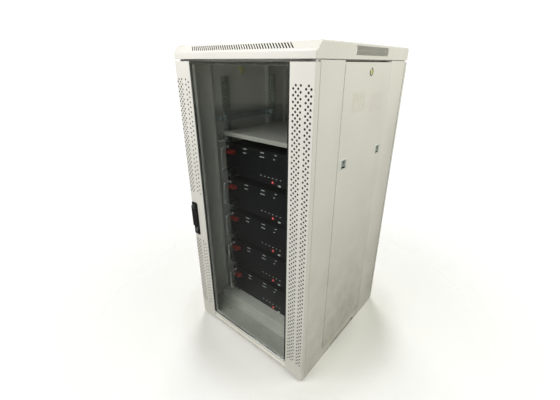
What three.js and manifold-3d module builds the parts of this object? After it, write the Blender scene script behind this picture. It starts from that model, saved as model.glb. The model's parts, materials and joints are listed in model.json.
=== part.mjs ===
// Rack cabinet with a glass front door, holding a stack of rack-mounted battery modules.
// Millimetres, +Z up. The cabinet faces -Y. The origin is on the floor, under the middle of the
// whole box. Depths named d are counted from the front face of the closed front door.

import * as THREE from "three";
import { mergeVertices } from "three/addons/utils/BufferGeometryUtils.js";
import Module from "manifold-3d";

const wasm = await Module();
wasm.setup();

// ---- driving dimensions -------------------------------------------------------------------

const WIDTH = 600;
const HEIGHT = 1200;
const CABINET_DEPTH = 630; // front face of the front door to back face of the rear door
const HANDLE_PROUD = 12; // how far the swing handle stands in front of the front door
const REAR_LOCK_PROUD = 6; // how far the rear lock stands behind the rear door
const GAP = 0.3; // clearance between pieces that touch

const HALF_WIDTH = WIDTH / 2;
const DOOR_FRONT_Y = -(CABINET_DEPTH + HANDLE_PROUD + REAR_LOCK_PROUD) / 2 + HANDLE_PROUD;
const SHEET = 1.5; // sheet steel of the posts, panels and doors

const BASE_TOP = 45;
const POST_TOP = 1154.7;
const COVER_BOTTOM = 1157;
const FRAME_FRONT = 21; // depth of the frame's front face
const FRAME_BACK = 613; // depth of the frame's back face
const FRONT_POST_END = 148; // depth where the front posts end and the side panels begin
const REAR_POST_START = 478;
const POST_FLANGE = 32; // width of a post's flange behind a door
const SEAT_FLANGE = 20; // width of the flange that a side panel closes against

const DOOR_BOTTOM = 6;
const DOOR_TOP = 1150;
const DOOR_THICK = 19;
const DOOR_HOLLOW_END = 50; // height of the solid ends of a stile, which hold the hinge pins
const WINDOW_HALF = 217.5;
const WINDOW_BOTTOM = 48;
const GLASS_DEPTH = 1.5; // how far the glass sits behind the door's face
const GLASS_THICK = 5;
const GASKET_THICK = 2;
const GASKET_WIDTH = 12;
const LIP_WIDTH = 12; // ledge of the door frame behind the gasket

const REAR_DOOR_FRONT = 615.5;
const PIN_RADIUS = 3;
const PIN_CLEARANCE = 0.3;
const PIN_LENGTH = 20;
const PIN_FROM_SIDE = 5.5; // from the cabinet's side to a hinge's axis
const FRONT_PIN_DEPTH = 11;
const REAR_PIN_DEPTH = 620.5;

const RAIL_DEPTH = 163.3; // depth of the front face of the front mounting rails
const REAR_RAIL_DEPTH = 450;
const RAIL_INNER = 225; // half the opening between the rails
const RAIL_OUTER = 250;
const RAIL_WEB = 42; // how far a rail's web runs back
const RAIL_BOTTOM = 87;
const RAIL_TOP = 1097;
const BRACE_HEIGHT = 26;
const BRACE_LEVELS = { lower: 250, upper: 925 }; // undersides of the depth braces

const MODULE_COUNT = 5;
const MODULE_PITCH = 155.6; // three and a half rack units
const MODULE_HEIGHT = 132;
const TOP_MODULE_BOTTOM = 710;
const FACEPLATE_WIDTH = 482.6;
const FACEPLATE_DEPTH = 160;
const FACEPLATE_THICK = 3;
const CASE_WIDTH = 440;
const CASE_DEPTH = 400;
const CASE_INSET = 1; // the case is this much lower than the faceplate, above and below
const PULL_X = 225; // half the distance between the two pull handles of a module
const PULL_SPAN = 96; // between the two legs of a pull handle
const PULL_REACH = 40;
const PULL_RADIUS = 4;
const BUTTON_X = 22;
const BUTTON_ABOVE = 14; // button's height above the module's underside
const BUTTON_RADIUS = 6;

const SHELF_TOP = 890;
const SHELF_FRONT = 150;
const SHELF_BACK = 480;
const SHELF_LIP = 17;

const LATCH_HEIGHT_Z = 850;
const LATCH_DEPTHS = { front: 184, rear: 444 };
const LATCH_WIDTH = 26;
const LATCH_HEIGHT = 22;
const LATCH_THICK = 8;
const LATCH_TRAVEL = 6;
const PANEL_LOCK_DEPTH = 319;
const PANEL_LOCK_Z = 1122;
const LOCK_RADIUS = 9;
const REAR_LOCK_X = 272;
const REAR_LOCK_Z = 600;

const HANDLE_X = -278;
const HANDLE_BOTTOM = 457;
const HANDLE_TOP = 608;
const HANDLE_WIDTH = 33;
const HANDLE_PLATE_THICK = 4.7;
const SWIVEL_Z = 590;
const LEVER_WIDTH = 24;
const LEVER_THICK = 6.4;
const LEVER_BOTTOM = 500;
const SPINDLE_RADIUS = 6;
const SPINDLE_HEAD = { width: 14, height: 18 };
const CYLINDER_Z = 478;

// ---- materials ----------------------------------------------------------------------------

function material(color, roughness, metalness) {
  return new THREE.MeshStandardMaterial({ color, roughness, metalness });
}

const MATERIALS = {
  paint: material(0xdedcd0, 0.45, 0.1),
  shelfPaint: material(0xbcb9b2, 0.4, 0.1),
  zinc: material(0x9aa5a6, 0.4, 0.8),
  modulePaint: material(0x15161a, 0.5, 0.2),
  chrome: material(0xd8dadd, 0.15, 1),
  blackPlastic: material(0x0d0d10, 0.4, 0),
  rubber: material(0x161616, 0.8, 0),
  glass: new THREE.MeshStandardMaterial({
    color: 0x70807a,
    roughness: 0.05,
    metalness: 0,
    transparent: true,
    opacity: 0.35,
  }),
  redPlastic: material(0xc0301c, 0.35, 0),
};

// ---- shapes -------------------------------------------------------------------------------

// The y of a depth counted back from the front door's face.
function yAt(depth) {
  return DOOR_FRONT_Y + depth;
}

// A box between two x, two depths and two heights.
function box([x0, x1], [d0, d1], [z0, z1]) {
  const geometry = new THREE.BoxGeometry(x1 - x0, d1 - d0, z1 - z0);
  return geometry.translate((x0 + x1) / 2, yAt((d0 + d1) / 2), (z0 + z1) / 2);
}

function shapeOf(points) {
  return new THREE.Shape(points.map(([u, v]) => new THREE.Vector2(u, v)));
}

// An upright prism: its outline is a list of [x, depth] points.
function uprightPrism(outline, [z0, z1]) {
  const shape = shapeOf(outline.map(([x, d]) => [x, yAt(d)]));
  const geometry = new THREE.ExtrudeGeometry(shape, { depth: z1 - z0, bevelEnabled: false });
  return geometry.translate(0, 0, z0);
}

// A prism across the cabinet: its outline is a list of [depth, z] points.
function crossPrism(outline, [x0, x1]) {
  const shape = shapeOf(outline.map(([d, z]) => [yAt(d), z]));
  const geometry = new THREE.ExtrudeGeometry(shape, { depth: x1 - x0, bevelEnabled: false });
  const shapeToPart = new THREE.Matrix4().set(0, 0, 1, x0, 1, 0, 0, 0, 0, 1, 0, 0, 0, 0, 0, 1);
  return geometry.applyMatrix4(shapeToPart);
}

// A cylinder along x, y or z, between two positions on that axis.
function cylinder(axis, radius, [from, to], centre, sides = 20) {
  const geometry = new THREE.CylinderGeometry(radius, radius, to - from, sides);
  const middle = (from + to) / 2;
  if (axis === "x") return geometry.rotateZ(-Math.PI / 2).translate(middle, ...centre);
  if (axis === "y") return geometry.translate(centre[0], middle, centre[1]);
  return geometry.rotateX(Math.PI / 2).translate(...centre, middle);
}

// The closed solid of a geometry, with its shared corners merged.
function solid(geometry) {
  const bare = geometry.clone();
  bare.deleteAttribute("normal");
  bare.deleteAttribute("uv");
  const merged = mergeVertices(bare, 1e-4);
  return new wasm.Manifold(
    new wasm.Mesh({
      numProp: 3,
      vertProperties: merged.attributes.position.array,
      triVerts: new Uint32Array(merged.index.array),
    }),
  );
}

// Adds and cuts geometries, and gives one geometry back.
function combine(added, cut = []) {
  let result = solid(added[0]);
  for (const piece of added.slice(1)) result = result.add(solid(piece));
  for (const piece of cut) result = result.subtract(solid(piece));
  const mesh = result.getMesh();
  const geometry = new THREE.BufferGeometry();
  geometry.setAttribute("position", new THREE.BufferAttribute(mesh.vertProperties, 3));
  geometry.setIndex(new THREE.BufferAttribute(mesh.triVerts, 1));
  const faceted = geometry.toNonIndexed();
  faceted.computeVertexNormals();
  return faceted;
}

// A range of x on the left (side -1) or right (side 1), from two distances off the middle.
function onSide(side, near, far) {
  return side > 0 ? [near, far] : [-far, -near];
}

// The same outline on either side, with its turning direction kept.
function sidedOutline(side, outline) {
  const turned = outline.map(([x, d]) => [side * x, d]);
  return side > 0 ? turned : turned.reverse();
}

const cabinet = new THREE.Group();

function addPiece(name, geometry, look) {
  const mesh = new THREE.Mesh(geometry, look);
  mesh.name = name;
  cabinet.add(mesh);
}

// ---- frame --------------------------------------------------------------------------------

// A welded tray on a folded skirt, with the lower hinge lugs and their pins.
function baseFrame() {
  const skirt = 2;
  const foot = 25;
  const floorUnderside = 40;
  const inside = HALF_WIDTH - skirt;
  const footInside = inside - foot;
  const lugTop = DOOR_BOTTOM - GAP - 0.3;
  const lugX = [HALF_WIDTH - 14, HALF_WIDTH - 1];
  const pinX = HALF_WIDTH - PIN_FROM_SIDE;
  const added = [
    box([-HALF_WIDTH, HALF_WIDTH], [FRAME_FRONT, FRAME_BACK], [0, BASE_TOP]),
    box(lugX, [5, FRAME_FRONT + 1], [2.5, lugTop]),
    cylinder("z", PIN_RADIUS, [lugTop - 1, lugTop + PIN_LENGTH], [pinX, yAt(FRONT_PIN_DEPTH)]),
    box([-lugX[1], -lugX[0]], [FRAME_BACK - 1, 626], [2.5, lugTop]),
    cylinder("z", PIN_RADIUS, [lugTop - 1, lugTop + PIN_LENGTH], [-pinX, yAt(REAR_PIN_DEPTH)]),
  ];
  const trayTop = 43;
  const cut = [
    box([-inside, inside], [FRAME_FRONT + skirt, FRAME_BACK - skirt], [skirt, floorUnderside]),
    box([-footInside, footInside], [FRAME_FRONT + skirt + foot, FRAME_BACK - skirt - foot], [-1, 3]),
    box([-inside, inside], [FRAME_FRONT + skirt, FRAME_BACK - skirt], [trayTop, BASE_TOP + 1]),
  ];
  for (const side of [-1, 1]) {
    cut.push(box(onSide(side, inside - 1, HALF_WIDTH + 1), [215, 420], [4, 22]));
    for (const depth of [68, 566]) {
      cut.push(cylinder("z", 5, [floorUnderside - 2, BASE_TOP + 2], [side * 179, yAt(depth)], 16));
    }
  }
  return combine(added, cut);
}

// A wide corner column of folded sheet: a flange behind the door, the side wall, and the flange
// that the side panel closes against.
function frontPost(side) {
  const wall = HALF_WIDTH - SHEET;
  const flangeEnd = HALF_WIDTH - POST_FLANGE;
  const lipEnd = FRAME_FRONT + 15;
  const seatEnd = HALF_WIDTH - SEAT_FLANGE;
  const outline = [
    [flangeEnd, FRAME_FRONT],
    [HALF_WIDTH, FRAME_FRONT],
    [HALF_WIDTH, FRONT_POST_END],
    [seatEnd, FRONT_POST_END],
    [seatEnd, FRONT_POST_END - SHEET],
    [wall, FRONT_POST_END - SHEET],
    [wall, FRAME_FRONT + SHEET],
    [flangeEnd + SHEET, FRAME_FRONT + SHEET],
    [flangeEnd + SHEET, lipEnd],
    [flangeEnd, lipEnd],
  ];
  return uprightPrism(sidedOutline(side, outline), [BASE_TOP + GAP, POST_TOP]);
}

function rearPost(side) {
  const wall = HALF_WIDTH - SHEET;
  const flangeEnd = HALF_WIDTH - POST_FLANGE;
  const lipEnd = FRAME_BACK - 15;
  const seatEnd = HALF_WIDTH - SEAT_FLANGE;
  const outline = [
    [seatEnd, REAR_POST_START],
    [HALF_WIDTH, REAR_POST_START],
    [HALF_WIDTH, FRAME_BACK],
    [flangeEnd, FRAME_BACK],
    [flangeEnd, lipEnd],
    [flangeEnd + SHEET, lipEnd],
    [flangeEnd + SHEET, FRAME_BACK - SHEET],
    [wall, FRAME_BACK - SHEET],
    [wall, REAR_POST_START + SHEET],
    [seatEnd, REAR_POST_START + SHEET],
  ];
  return uprightPrism(sidedOutline(side, outline), [BASE_TOP + GAP, POST_TOP]);
}

// The ring that ties the posts together, with the upper hinge lugs and their pins.
function topFrame() {
  const plate = [POST_TOP + GAP, COVER_BOTTOM - GAP];
  const webBottom = 1140;
  const webHalf = 266;
  const webFront = 37;
  const webBack = 597;
  const ringInside = 24;
  const reach = HALF_WIDTH - 3;
  const lugX = [HALF_WIDTH - 14, HALF_WIDTH - 1];
  const pinX = HALF_WIDTH - PIN_FROM_SIDE;
  const pin = [DOOR_TOP - PIN_LENGTH + 5, plate[0] + 1];
  const added = [
    box([-reach, reach], [FRAME_FRONT + 2, FRAME_BACK - 2], plate),
    box([-webHalf, webHalf], [webFront, webBack], [webBottom, plate[1]]),
    box(lugX, [5, FRAME_FRONT + 3], plate),
    cylinder("z", PIN_RADIUS, pin, [pinX, yAt(FRONT_PIN_DEPTH)]),
    box([-lugX[1], -lugX[0]], [FRAME_BACK - 3, 626], plate),
    cylinder("z", PIN_RADIUS, pin, [-pinX, yAt(REAR_PIN_DEPTH)]),
  ];
  const opening = webHalf - ringInside;
  const cut = [
    box([-opening, opening], [webFront + ringInside, webBack - ringInside], [webBottom - 1, HEIGHT]),
    box([-webHalf + SHEET, webHalf - SHEET], [webFront + SHEET, webBack - SHEET], [0, plate[0]]),
  ];
  return combine(added, cut);
}

// The roof: a folded shell, open below, with a sloping front edge.
function topCover() {
  const wall = 2;
  const slopeStart = 1177;
  const slopeDepth = 20;
  const rearChamfer = 6;
  const outer = [
    [0, COVER_BOTTOM],
    [CABINET_DEPTH, COVER_BOTTOM],
    [CABINET_DEPTH, HEIGHT - rearChamfer],
    [CABINET_DEPTH - rearChamfer, HEIGHT],
    [slopeDepth, HEIGHT],
    [0, slopeStart],
  ];
  const inner = [
    [wall, COVER_BOTTOM - 1],
    [CABINET_DEPTH - wall, COVER_BOTTOM - 1],
    [CABINET_DEPTH - wall, HEIGHT - rearChamfer - wall / 2],
    [CABINET_DEPTH - rearChamfer - wall / 2, HEIGHT - wall],
    [slopeDepth + wall / 2, HEIGHT - wall],
    [wall, slopeStart - wall / 2],
  ];
  const inside = HALF_WIDTH - wall;
  return combine([crossPrism(outer, [-HALF_WIDTH, HALF_WIDTH])], [crossPrism(inner, [-inside, inside])]);
}

// ---- inside the cabinet -------------------------------------------------------------------

// An L-shaped mounting rail: the flange that equipment bolts to, and a web that runs back.
function mountingRail(side, depth) {
  const thick = 2;
  const outline = [
    [RAIL_INNER, depth],
    [RAIL_OUTER, depth],
    [RAIL_OUTER, depth + RAIL_WEB],
    [RAIL_OUTER - thick, depth + RAIL_WEB],
    [RAIL_OUTER - thick, depth + thick],
    [RAIL_INNER, depth + thick],
  ];
  return uprightPrism(sidedOutline(side, outline), [RAIL_BOTTOM, RAIL_TOP]);
}

// A bracket from front post to rear post that carries the mounting rails.
function depthBrace(side, bottom) {
  const thick = 2;
  const near = RAIL_OUTER + GAP;
  const far = HALF_WIDTH - SEAT_FLANGE + 7;
  const front = FRONT_POST_END + GAP;
  const back = REAR_POST_START - GAP;
  const outline = [
    [near, front],
    [far, front],
    [far, front + thick],
    [near + thick, front + thick],
    [near + thick, back - thick],
    [far, back - thick],
    [far, back],
    [near, back],
  ];
  return uprightPrism(sidedOutline(side, outline), [bottom, bottom + BRACE_HEIGHT]);
}

// A stepped member across the floor that the mounting rails stand on.
function floorCrossbar([depth, back]) {
  const thick = 2;
  const foot = BASE_TOP + GAP;
  const top = RAIL_BOTTOM - GAP;
  const toe = depth - 25;
  const outline = [
    [toe, foot],
    [depth, foot],
    [depth, top - thick],
    [back - thick, top - thick],
    [back - thick, top - 20],
    [back, top - 20],
    [back, top],
    [depth - thick, top],
    [depth - thick, foot + thick],
    [toe, foot + thick],
  ];
  const reach = HALF_WIDTH - SEAT_FLANGE - POST_FLANGE / 4;
  return crossPrism(outline, [-reach, reach]);
}

// A fixed shelf: its wide front edge lies in front of the rails and the tray runs back between them.
function shelf() {
  const thick = 1.5;
  const half = FACEPLATE_WIDTH / 2;
  const traySide = RAIL_INNER - 1;
  const lipBottom = SHELF_TOP - SHELF_LIP;
  const frontEnd = RAIL_DEPTH - GAP;
  const added = [
    box([-half, half], [SHELF_FRONT, frontEnd], [lipBottom, SHELF_TOP]),
    box([-traySide, traySide], [frontEnd - 1, SHELF_BACK], [lipBottom, SHELF_TOP]),
  ];
  const cut = [
    box([-half + thick, half - thick], [SHELF_FRONT + thick, frontEnd - thick], [0, SHELF_TOP - thick]),
    box([-traySide + thick, traySide - thick], [frontEnd - 3, SHELF_BACK - thick], [0, SHELF_TOP - thick]),
  ];
  return combine(added, cut);
}

// ---- battery modules ----------------------------------------------------------------------

// A round bar bent into a pull handle, standing on the faceplate.
function pullHandle(x, middleZ) {
  const half = PULL_SPAN / 2;
  const bend = 9;
  const root = yAt(FACEPLATE_DEPTH - GAP);
  const front = root - PULL_REACH + PULL_RADIUS;
  const point = (y, z) => new THREE.Vector3(x, y, z);
  const path = new THREE.CurvePath();
  path.add(new THREE.LineCurve3(point(root, middleZ - half), point(front + bend, middleZ - half)));
  path.add(
    new THREE.QuadraticBezierCurve3(
      point(front + bend, middleZ - half),
      point(front, middleZ - half),
      point(front, middleZ - half + bend),
    ),
  );
  path.add(new THREE.LineCurve3(point(front, middleZ - half + bend), point(front, middleZ + half - bend)));
  path.add(
    new THREE.QuadraticBezierCurve3(
      point(front, middleZ + half - bend),
      point(front, middleZ + half),
      point(front + bend, middleZ + half),
    ),
  );
  path.add(new THREE.LineCurve3(point(front + bend, middleZ + half), point(root, middleZ + half)));
  const section = new THREE.Shape();
  section.absarc(0, 0, PULL_RADIUS, 0, 2 * Math.PI);
  return new THREE.ExtrudeGeometry(section, {
    steps: 24,
    curveSegments: 5,
    bevelEnabled: false,
    extrudePath: path,
  });
}

function faceplate(bottom) {
  const half = FACEPLATE_WIDTH / 2;
  const depths = [FACEPLATE_DEPTH, FACEPLATE_DEPTH + FACEPLATE_THICK];
  const plate = box([-half, half], depths, [bottom, bottom + MODULE_HEIGHT]);
  const hole = [yAt(FACEPLATE_DEPTH - 5), yAt(FACEPLATE_DEPTH + FACEPLATE_THICK + 5)];
  const centre = [BUTTON_X, bottom + BUTTON_ABOVE];
  return combine([plate], [cylinder("y", BUTTON_RADIUS + GAP, hole, centre)]);
}

// The steel box of cells. A blind pocket behind the faceplate gives the button room to travel.
function moduleCase(bottom) {
  const front = FACEPLATE_DEPTH + FACEPLATE_THICK + GAP;
  const half = CASE_WIDTH / 2;
  const heights = [bottom + CASE_INSET, bottom + MODULE_HEIGHT - CASE_INSET];
  const block = box([-half, half], [front, front + CASE_DEPTH], heights);
  const pocket = [yAt(front - 1), yAt(front + 8)];
  const centre = [BUTTON_X, bottom + BUTTON_ABOVE];
  return combine([block], [cylinder("y", BUTTON_RADIUS + 1, pocket, centre)]);
}

function powerButton(bottom) {
  const ends = [yAt(FACEPLATE_DEPTH - 3), yAt(FACEPLATE_DEPTH + FACEPLATE_THICK + 4)];
  return cylinder("y", BUTTON_RADIUS, ends, [BUTTON_X, bottom + BUTTON_ABOVE]);
}

// ---- side panels --------------------------------------------------------------------------

// A lift-off panel with folded edges, cut out for two latches and a lock.
function sidePanel(side) {
  const edge = 12;
  const depths = [FRONT_POST_END + SHEET, REAR_POST_START - SHEET];
  const heights = [BASE_TOP + 1, DOOR_TOP];
  const inside = [depths[0] + SHEET, depths[1] - SHEET];
  const cut = [
    box(
      onSide(side, HALF_WIDTH - edge - 1, HALF_WIDTH - SHEET),
      inside,
      [heights[0] + SHEET, heights[1] - SHEET],
    ),
  ];
  const through = onSide(side, HALF_WIDTH - edge - 1, HALF_WIDTH + 1);
  for (const depth of Object.values(LATCH_DEPTHS)) {
    cut.push(
      box(
        through,
        [depth - LATCH_WIDTH / 2 - GAP, depth + LATCH_WIDTH / 2 + GAP],
        [LATCH_HEIGHT_Z - LATCH_HEIGHT / 2 - LATCH_TRAVEL - GAP, LATCH_HEIGHT_Z + LATCH_HEIGHT / 2 + GAP],
      ),
    );
  }
  cut.push(cylinder("x", LOCK_RADIUS + GAP, through, [yAt(PANEL_LOCK_DEPTH), PANEL_LOCK_Z]));
  return combine([box(onSide(side, HALF_WIDTH - edge, HALF_WIDTH), depths, heights)], cut);
}

// A slam latch's finger slide with its catch tongue behind the panel.
function panelLatch(side, depth) {
  const front = HALF_WIDTH;
  const half = LATCH_WIDTH / 2;
  const heights = [LATCH_HEIGHT_Z - LATCH_HEIGHT / 2, LATCH_HEIGHT_Z + LATCH_HEIGHT / 2];
  const body = box(onSide(side, front - LATCH_THICK, front), [depth - half, depth + half], heights);
  const grip = box(
    onSide(side, front - 4, front + 1),
    [depth - half + 4, depth + half - 4],
    [LATCH_HEIGHT_Z - 4, LATCH_HEIGHT_Z + 8],
  );
  const tongue = box(
    onSide(side, front - LATCH_THICK - 3, front - LATCH_THICK + 1),
    [depth - 8, depth + 8],
    [heights[0] + 3, heights[1] - 3],
  );
  return combine([body, tongue], [grip]);
}

// A round key lock along x with its cam behind the panel.
function panelLock(side) {
  const cylinderRange = onSide(side, HALF_WIDTH - 14, HALF_WIDTH);
  const camX = onSide(side, HALF_WIDTH - 16, HALF_WIDTH - 13);
  const barrel = cylinder("x", LOCK_RADIUS, cylinderRange, [yAt(PANEL_LOCK_DEPTH), PANEL_LOCK_Z]);
  const cam = box(
    camX,
    [PANEL_LOCK_DEPTH - 7, PANEL_LOCK_DEPTH + 7],
    [PANEL_LOCK_Z - 22, PANEL_LOCK_Z + 7],
  );
  const slot = box(
    onSide(side, HALF_WIDTH - 2, HALF_WIDTH + 1),
    [PANEL_LOCK_DEPTH - 0.8, PANEL_LOCK_DEPTH + 0.8],
    [PANEL_LOCK_Z - 4, PANEL_LOCK_Z + 4],
  );
  return combine([barrel, cam], [slot]);
}

// ---- front door ---------------------------------------------------------------------------

// Two hollow stiles, a bottom rail, and a ledge behind the glass all round.
function frontDoorFrame() {
  const glassBack = GLASS_DEPTH + GLASS_THICK + 2 * GAP + GASKET_THICK;
  const pocketNear = WINDOW_HALF + SHEET;
  const pocketFar = HALF_WIDTH - SHEET;
  const pocket = [DOOR_BOTTOM + DOOR_HOLLOW_END, DOOR_TOP - DOOR_HOLLOW_END];
  const ledge = WINDOW_HALF - LIP_WIDTH;
  const pinX = HALF_WIDTH - PIN_FROM_SIDE;
  const bore = PIN_RADIUS + PIN_CLEARANCE;
  const pinY = yAt(FRONT_PIN_DEPTH);
  const cut = [
    box([-WINDOW_HALF, WINDOW_HALF], [-1, glassBack], [WINDOW_BOTTOM, DOOR_TOP + 1]),
    box([-ledge, ledge], [-1, DOOR_THICK + 1], [WINDOW_BOTTOM + LIP_WIDTH, DOOR_TOP - LIP_WIDTH]),
    cylinder("z", bore, [DOOR_BOTTOM - 1, DOOR_BOTTOM + PIN_LENGTH + 2], [pinX, pinY]),
    cylinder("z", bore, [DOOR_TOP - PIN_LENGTH, DOOR_TOP + 1], [pinX, pinY]),
    cylinder("y", SPINDLE_RADIUS + GAP, [yAt(-2), yAt(DOOR_THICK)], [HANDLE_X, SWIVEL_Z]),
    cylinder("y", LOCK_RADIUS + GAP, [yAt(-2), yAt(DOOR_THICK)], [HANDLE_X, CYLINDER_Z]),
  ];
  for (const side of [-1, 1]) {
    cut.push(box(onSide(side, pocketNear, pocketFar), [SHEET, DOOR_THICK + 1], pocket));
  }
  const slab = box([-HALF_WIDTH, HALF_WIDTH], [0, DOOR_THICK], [DOOR_BOTTOM, DOOR_TOP]);
  return combine([slab], cut);
}

function doorGlass() {
  const half = WINDOW_HALF - GAP;
  const depths = [GLASS_DEPTH, GLASS_DEPTH + GLASS_THICK];
  return box([-half, half], depths, [WINDOW_BOTTOM + GAP, DOOR_TOP - GAP]);
}

function glassGasket() {
  const half = WINDOW_HALF - GAP;
  const front = GLASS_DEPTH + GLASS_THICK + GAP;
  const depths = [front, front + GASKET_THICK];
  const inner = half - GASKET_WIDTH;
  const ring = box([-half, half], depths, [WINDOW_BOTTOM + GAP, DOOR_TOP - GAP]);
  const opening = box(
    [-inner, inner],
    [front - 1, front + GASKET_THICK + 1],
    [WINDOW_BOTTOM + GASKET_WIDTH, DOOR_TOP - GASKET_WIDTH],
  );
  return combine([ring], [opening]);
}

// ---- swing handle -------------------------------------------------------------------------

function handlePlate() {
  const half = HANDLE_WIDTH / 2;
  const depths = [-HANDLE_PLATE_THICK - GAP, -GAP];
  const plate = box([HANDLE_X - half, HANDLE_X + half], depths, [HANDLE_BOTTOM, HANDLE_TOP]);
  const through = [yAt(-HANDLE_PLATE_THICK - 2), yAt(2)];
  return combine(
    [plate],
    [
      cylinder("y", SPINDLE_RADIUS + GAP, through, [HANDLE_X, SWIVEL_Z]),
      cylinder("y", LOCK_RADIUS + GAP, through, [HANDLE_X, CYLINDER_Z]),
    ],
  );
}

const LEVER_MIDDLE = -HANDLE_PROUD + LEVER_THICK / 2; // depth of the lever's pivot
const LEVER_PIN_RADIUS = 1.6;

// The turning spindle: a head that carries the lever, a shaft through the door, and a cam inside it.
function handleSpindle() {
  const halfWidth = SPINDLE_HEAD.width / 2;
  const halfHeight = SPINDLE_HEAD.height / 2;
  const headBack = -HANDLE_PLATE_THICK - 2 * GAP;
  const shaftEnd = DOOR_THICK - 4;
  const camLength = 32;
  const head = box(
    [HANDLE_X - halfWidth, HANDLE_X + halfWidth],
    [-HANDLE_PROUD, headBack],
    [SWIVEL_Z - halfHeight, SWIVEL_Z + halfHeight],
  );
  const shaft = cylinder("y", SPINDLE_RADIUS, [yAt(headBack - 1), yAt(shaftEnd)], [HANDLE_X, SWIVEL_Z]);
  const cam = box(
    [HANDLE_X - 8, HANDLE_X + 8],
    [shaftEnd - 4, shaftEnd - 0.5],
    [SWIVEL_Z - camLength, SWIVEL_Z + 8],
  );
  const bore = cylinder(
    "x",
    LEVER_PIN_RADIUS + GAP,
    [HANDLE_X - halfWidth - 1, HANDLE_X + halfWidth + 1],
    [yAt(LEVER_MIDDLE), SWIVEL_Z],
    16,
  );
  return combine([head, shaft, cam], [bore]);
}

// The lever: a flat bar forked round the spindle's head, with its pivot pin across the fork.
function handleLever() {
  const half = LEVER_WIDTH / 2;
  const forkHalf = SPINDLE_HEAD.width / 2 + GAP;
  const forkBottom = SWIVEL_Z - SPINDLE_HEAD.height / 2 - 2;
  const outline = [[-LEVER_THICK / 2, LEVER_BOTTOM - SWIVEL_Z]];
  outline.push([LEVER_THICK / 2, LEVER_BOTTOM - SWIVEL_Z]);
  const steps = 8;
  for (let i = 0; i <= steps; i++) {
    const angle = (Math.PI * i) / steps;
    outline.push([(Math.cos(angle) * LEVER_THICK) / 2, (Math.sin(angle) * LEVER_THICK) / 2]);
  }
  const placed = outline.map(([d, z]) => [LEVER_MIDDLE + d, SWIVEL_Z + z]);
  const bar = crossPrism(placed, [HANDLE_X - half, HANDLE_X + half]);
  const fork = box(
    [HANDLE_X - forkHalf, HANDLE_X + forkHalf],
    [-HANDLE_PROUD - 1, 0],
    [forkBottom, SWIVEL_Z + LEVER_THICK],
  );
  const pin = cylinder(
    "x",
    LEVER_PIN_RADIUS,
    [HANDLE_X - half + 1, HANDLE_X + half - 1],
    [yAt(LEVER_MIDDLE), SWIVEL_Z],
    16,
  );
  const forked = combine([bar], [fork]);
  return combine([forked, pin]);
}

// A key cylinder through a door or plate, along y, with a cam at its inner end.
function keyCylinder([x, z], [front, back], camDepths) {
  const barrel = cylinder("y", LOCK_RADIUS, [yAt(front), yAt(back)], [x, z]);
  const cam = box([x - 6, x + 6], camDepths, [z - 8, z + 20]);
  return { barrel, cam };
}

function handleCylinder() {
  const front = -HANDLE_PLATE_THICK - 3;
  const { barrel, cam } = keyCylinder([HANDLE_X, CYLINDER_Z], [front, 14], [10.5, 13.5]);
  const slot = box(
    [HANDLE_X - 0.8, HANDLE_X + 0.8],
    [front - 1, front + 2],
    [CYLINDER_Z - 4, CYLINDER_Z + 4],
  );
  return combine([barrel, cam], [slot]);
}

// ---- rear door ----------------------------------------------------------------------------

// A steel panel with folded edges and solid ends at the hinges.
function rearDoor() {
  const pocket = [DOOR_BOTTOM + SHEET, DOOR_TOP - SHEET];
  const inner = HALF_WIDTH - 22;
  const pinX = -(HALF_WIDTH - PIN_FROM_SIDE);
  const bore = PIN_RADIUS + PIN_CLEARANCE;
  const pinY = yAt(REAR_PIN_DEPTH);
  const skin = CABINET_DEPTH - SHEET;
  const lock = [REAR_LOCK_X, REAR_LOCK_Z];
  const cut = [
    box([-inner, inner], [REAR_DOOR_FRONT - 1, skin], pocket),
    box([inner - 20, HALF_WIDTH - SHEET], [REAR_DOOR_FRONT - 1, skin], pocket),
    cylinder("z", bore, [DOOR_BOTTOM - 1, DOOR_BOTTOM + PIN_LENGTH + 2], [pinX, pinY]),
    cylinder("z", bore, [DOOR_TOP - PIN_LENGTH, DOOR_TOP + 1], [pinX, pinY]),
    cylinder("y", LOCK_RADIUS + GAP, [yAt(REAR_DOOR_FRONT), yAt(CABINET_DEPTH + 1)], lock),
  ];
  const slab = box([-HALF_WIDTH, HALF_WIDTH], [REAR_DOOR_FRONT, CABINET_DEPTH], [DOOR_BOTTOM, DOOR_TOP]);
  return combine([slab], cut);
}

function rearLock() {
  const back = CABINET_DEPTH + REAR_LOCK_PROUD;
  const start = REAR_DOOR_FRONT + 2;
  const { barrel, cam } = keyCylinder([REAR_LOCK_X, REAR_LOCK_Z], [start, back], [start, start + 3]);
  const slot = box(
    [REAR_LOCK_X - 0.8, REAR_LOCK_X + 0.8],
    [back - 2, back + 1],
    [REAR_LOCK_Z - 4, REAR_LOCK_Z + 4],
  );
  return combine([barrel, cam], [slot]);
}

// ---- the assembly -------------------------------------------------------------------------

addPiece("base_frame", baseFrame(), MATERIALS.paint);
addPiece("top_frame", topFrame(), MATERIALS.paint);
addPiece("top_cover", topCover(), MATERIALS.paint);
addPiece("floor_crossbar_front", floorCrossbar([112, 207]), MATERIALS.paint);
addPiece("floor_crossbar_rear", floorCrossbar([446, 496]), MATERIALS.paint);
addPiece("equipment_shelf", shelf(), MATERIALS.shelfPaint);

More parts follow.
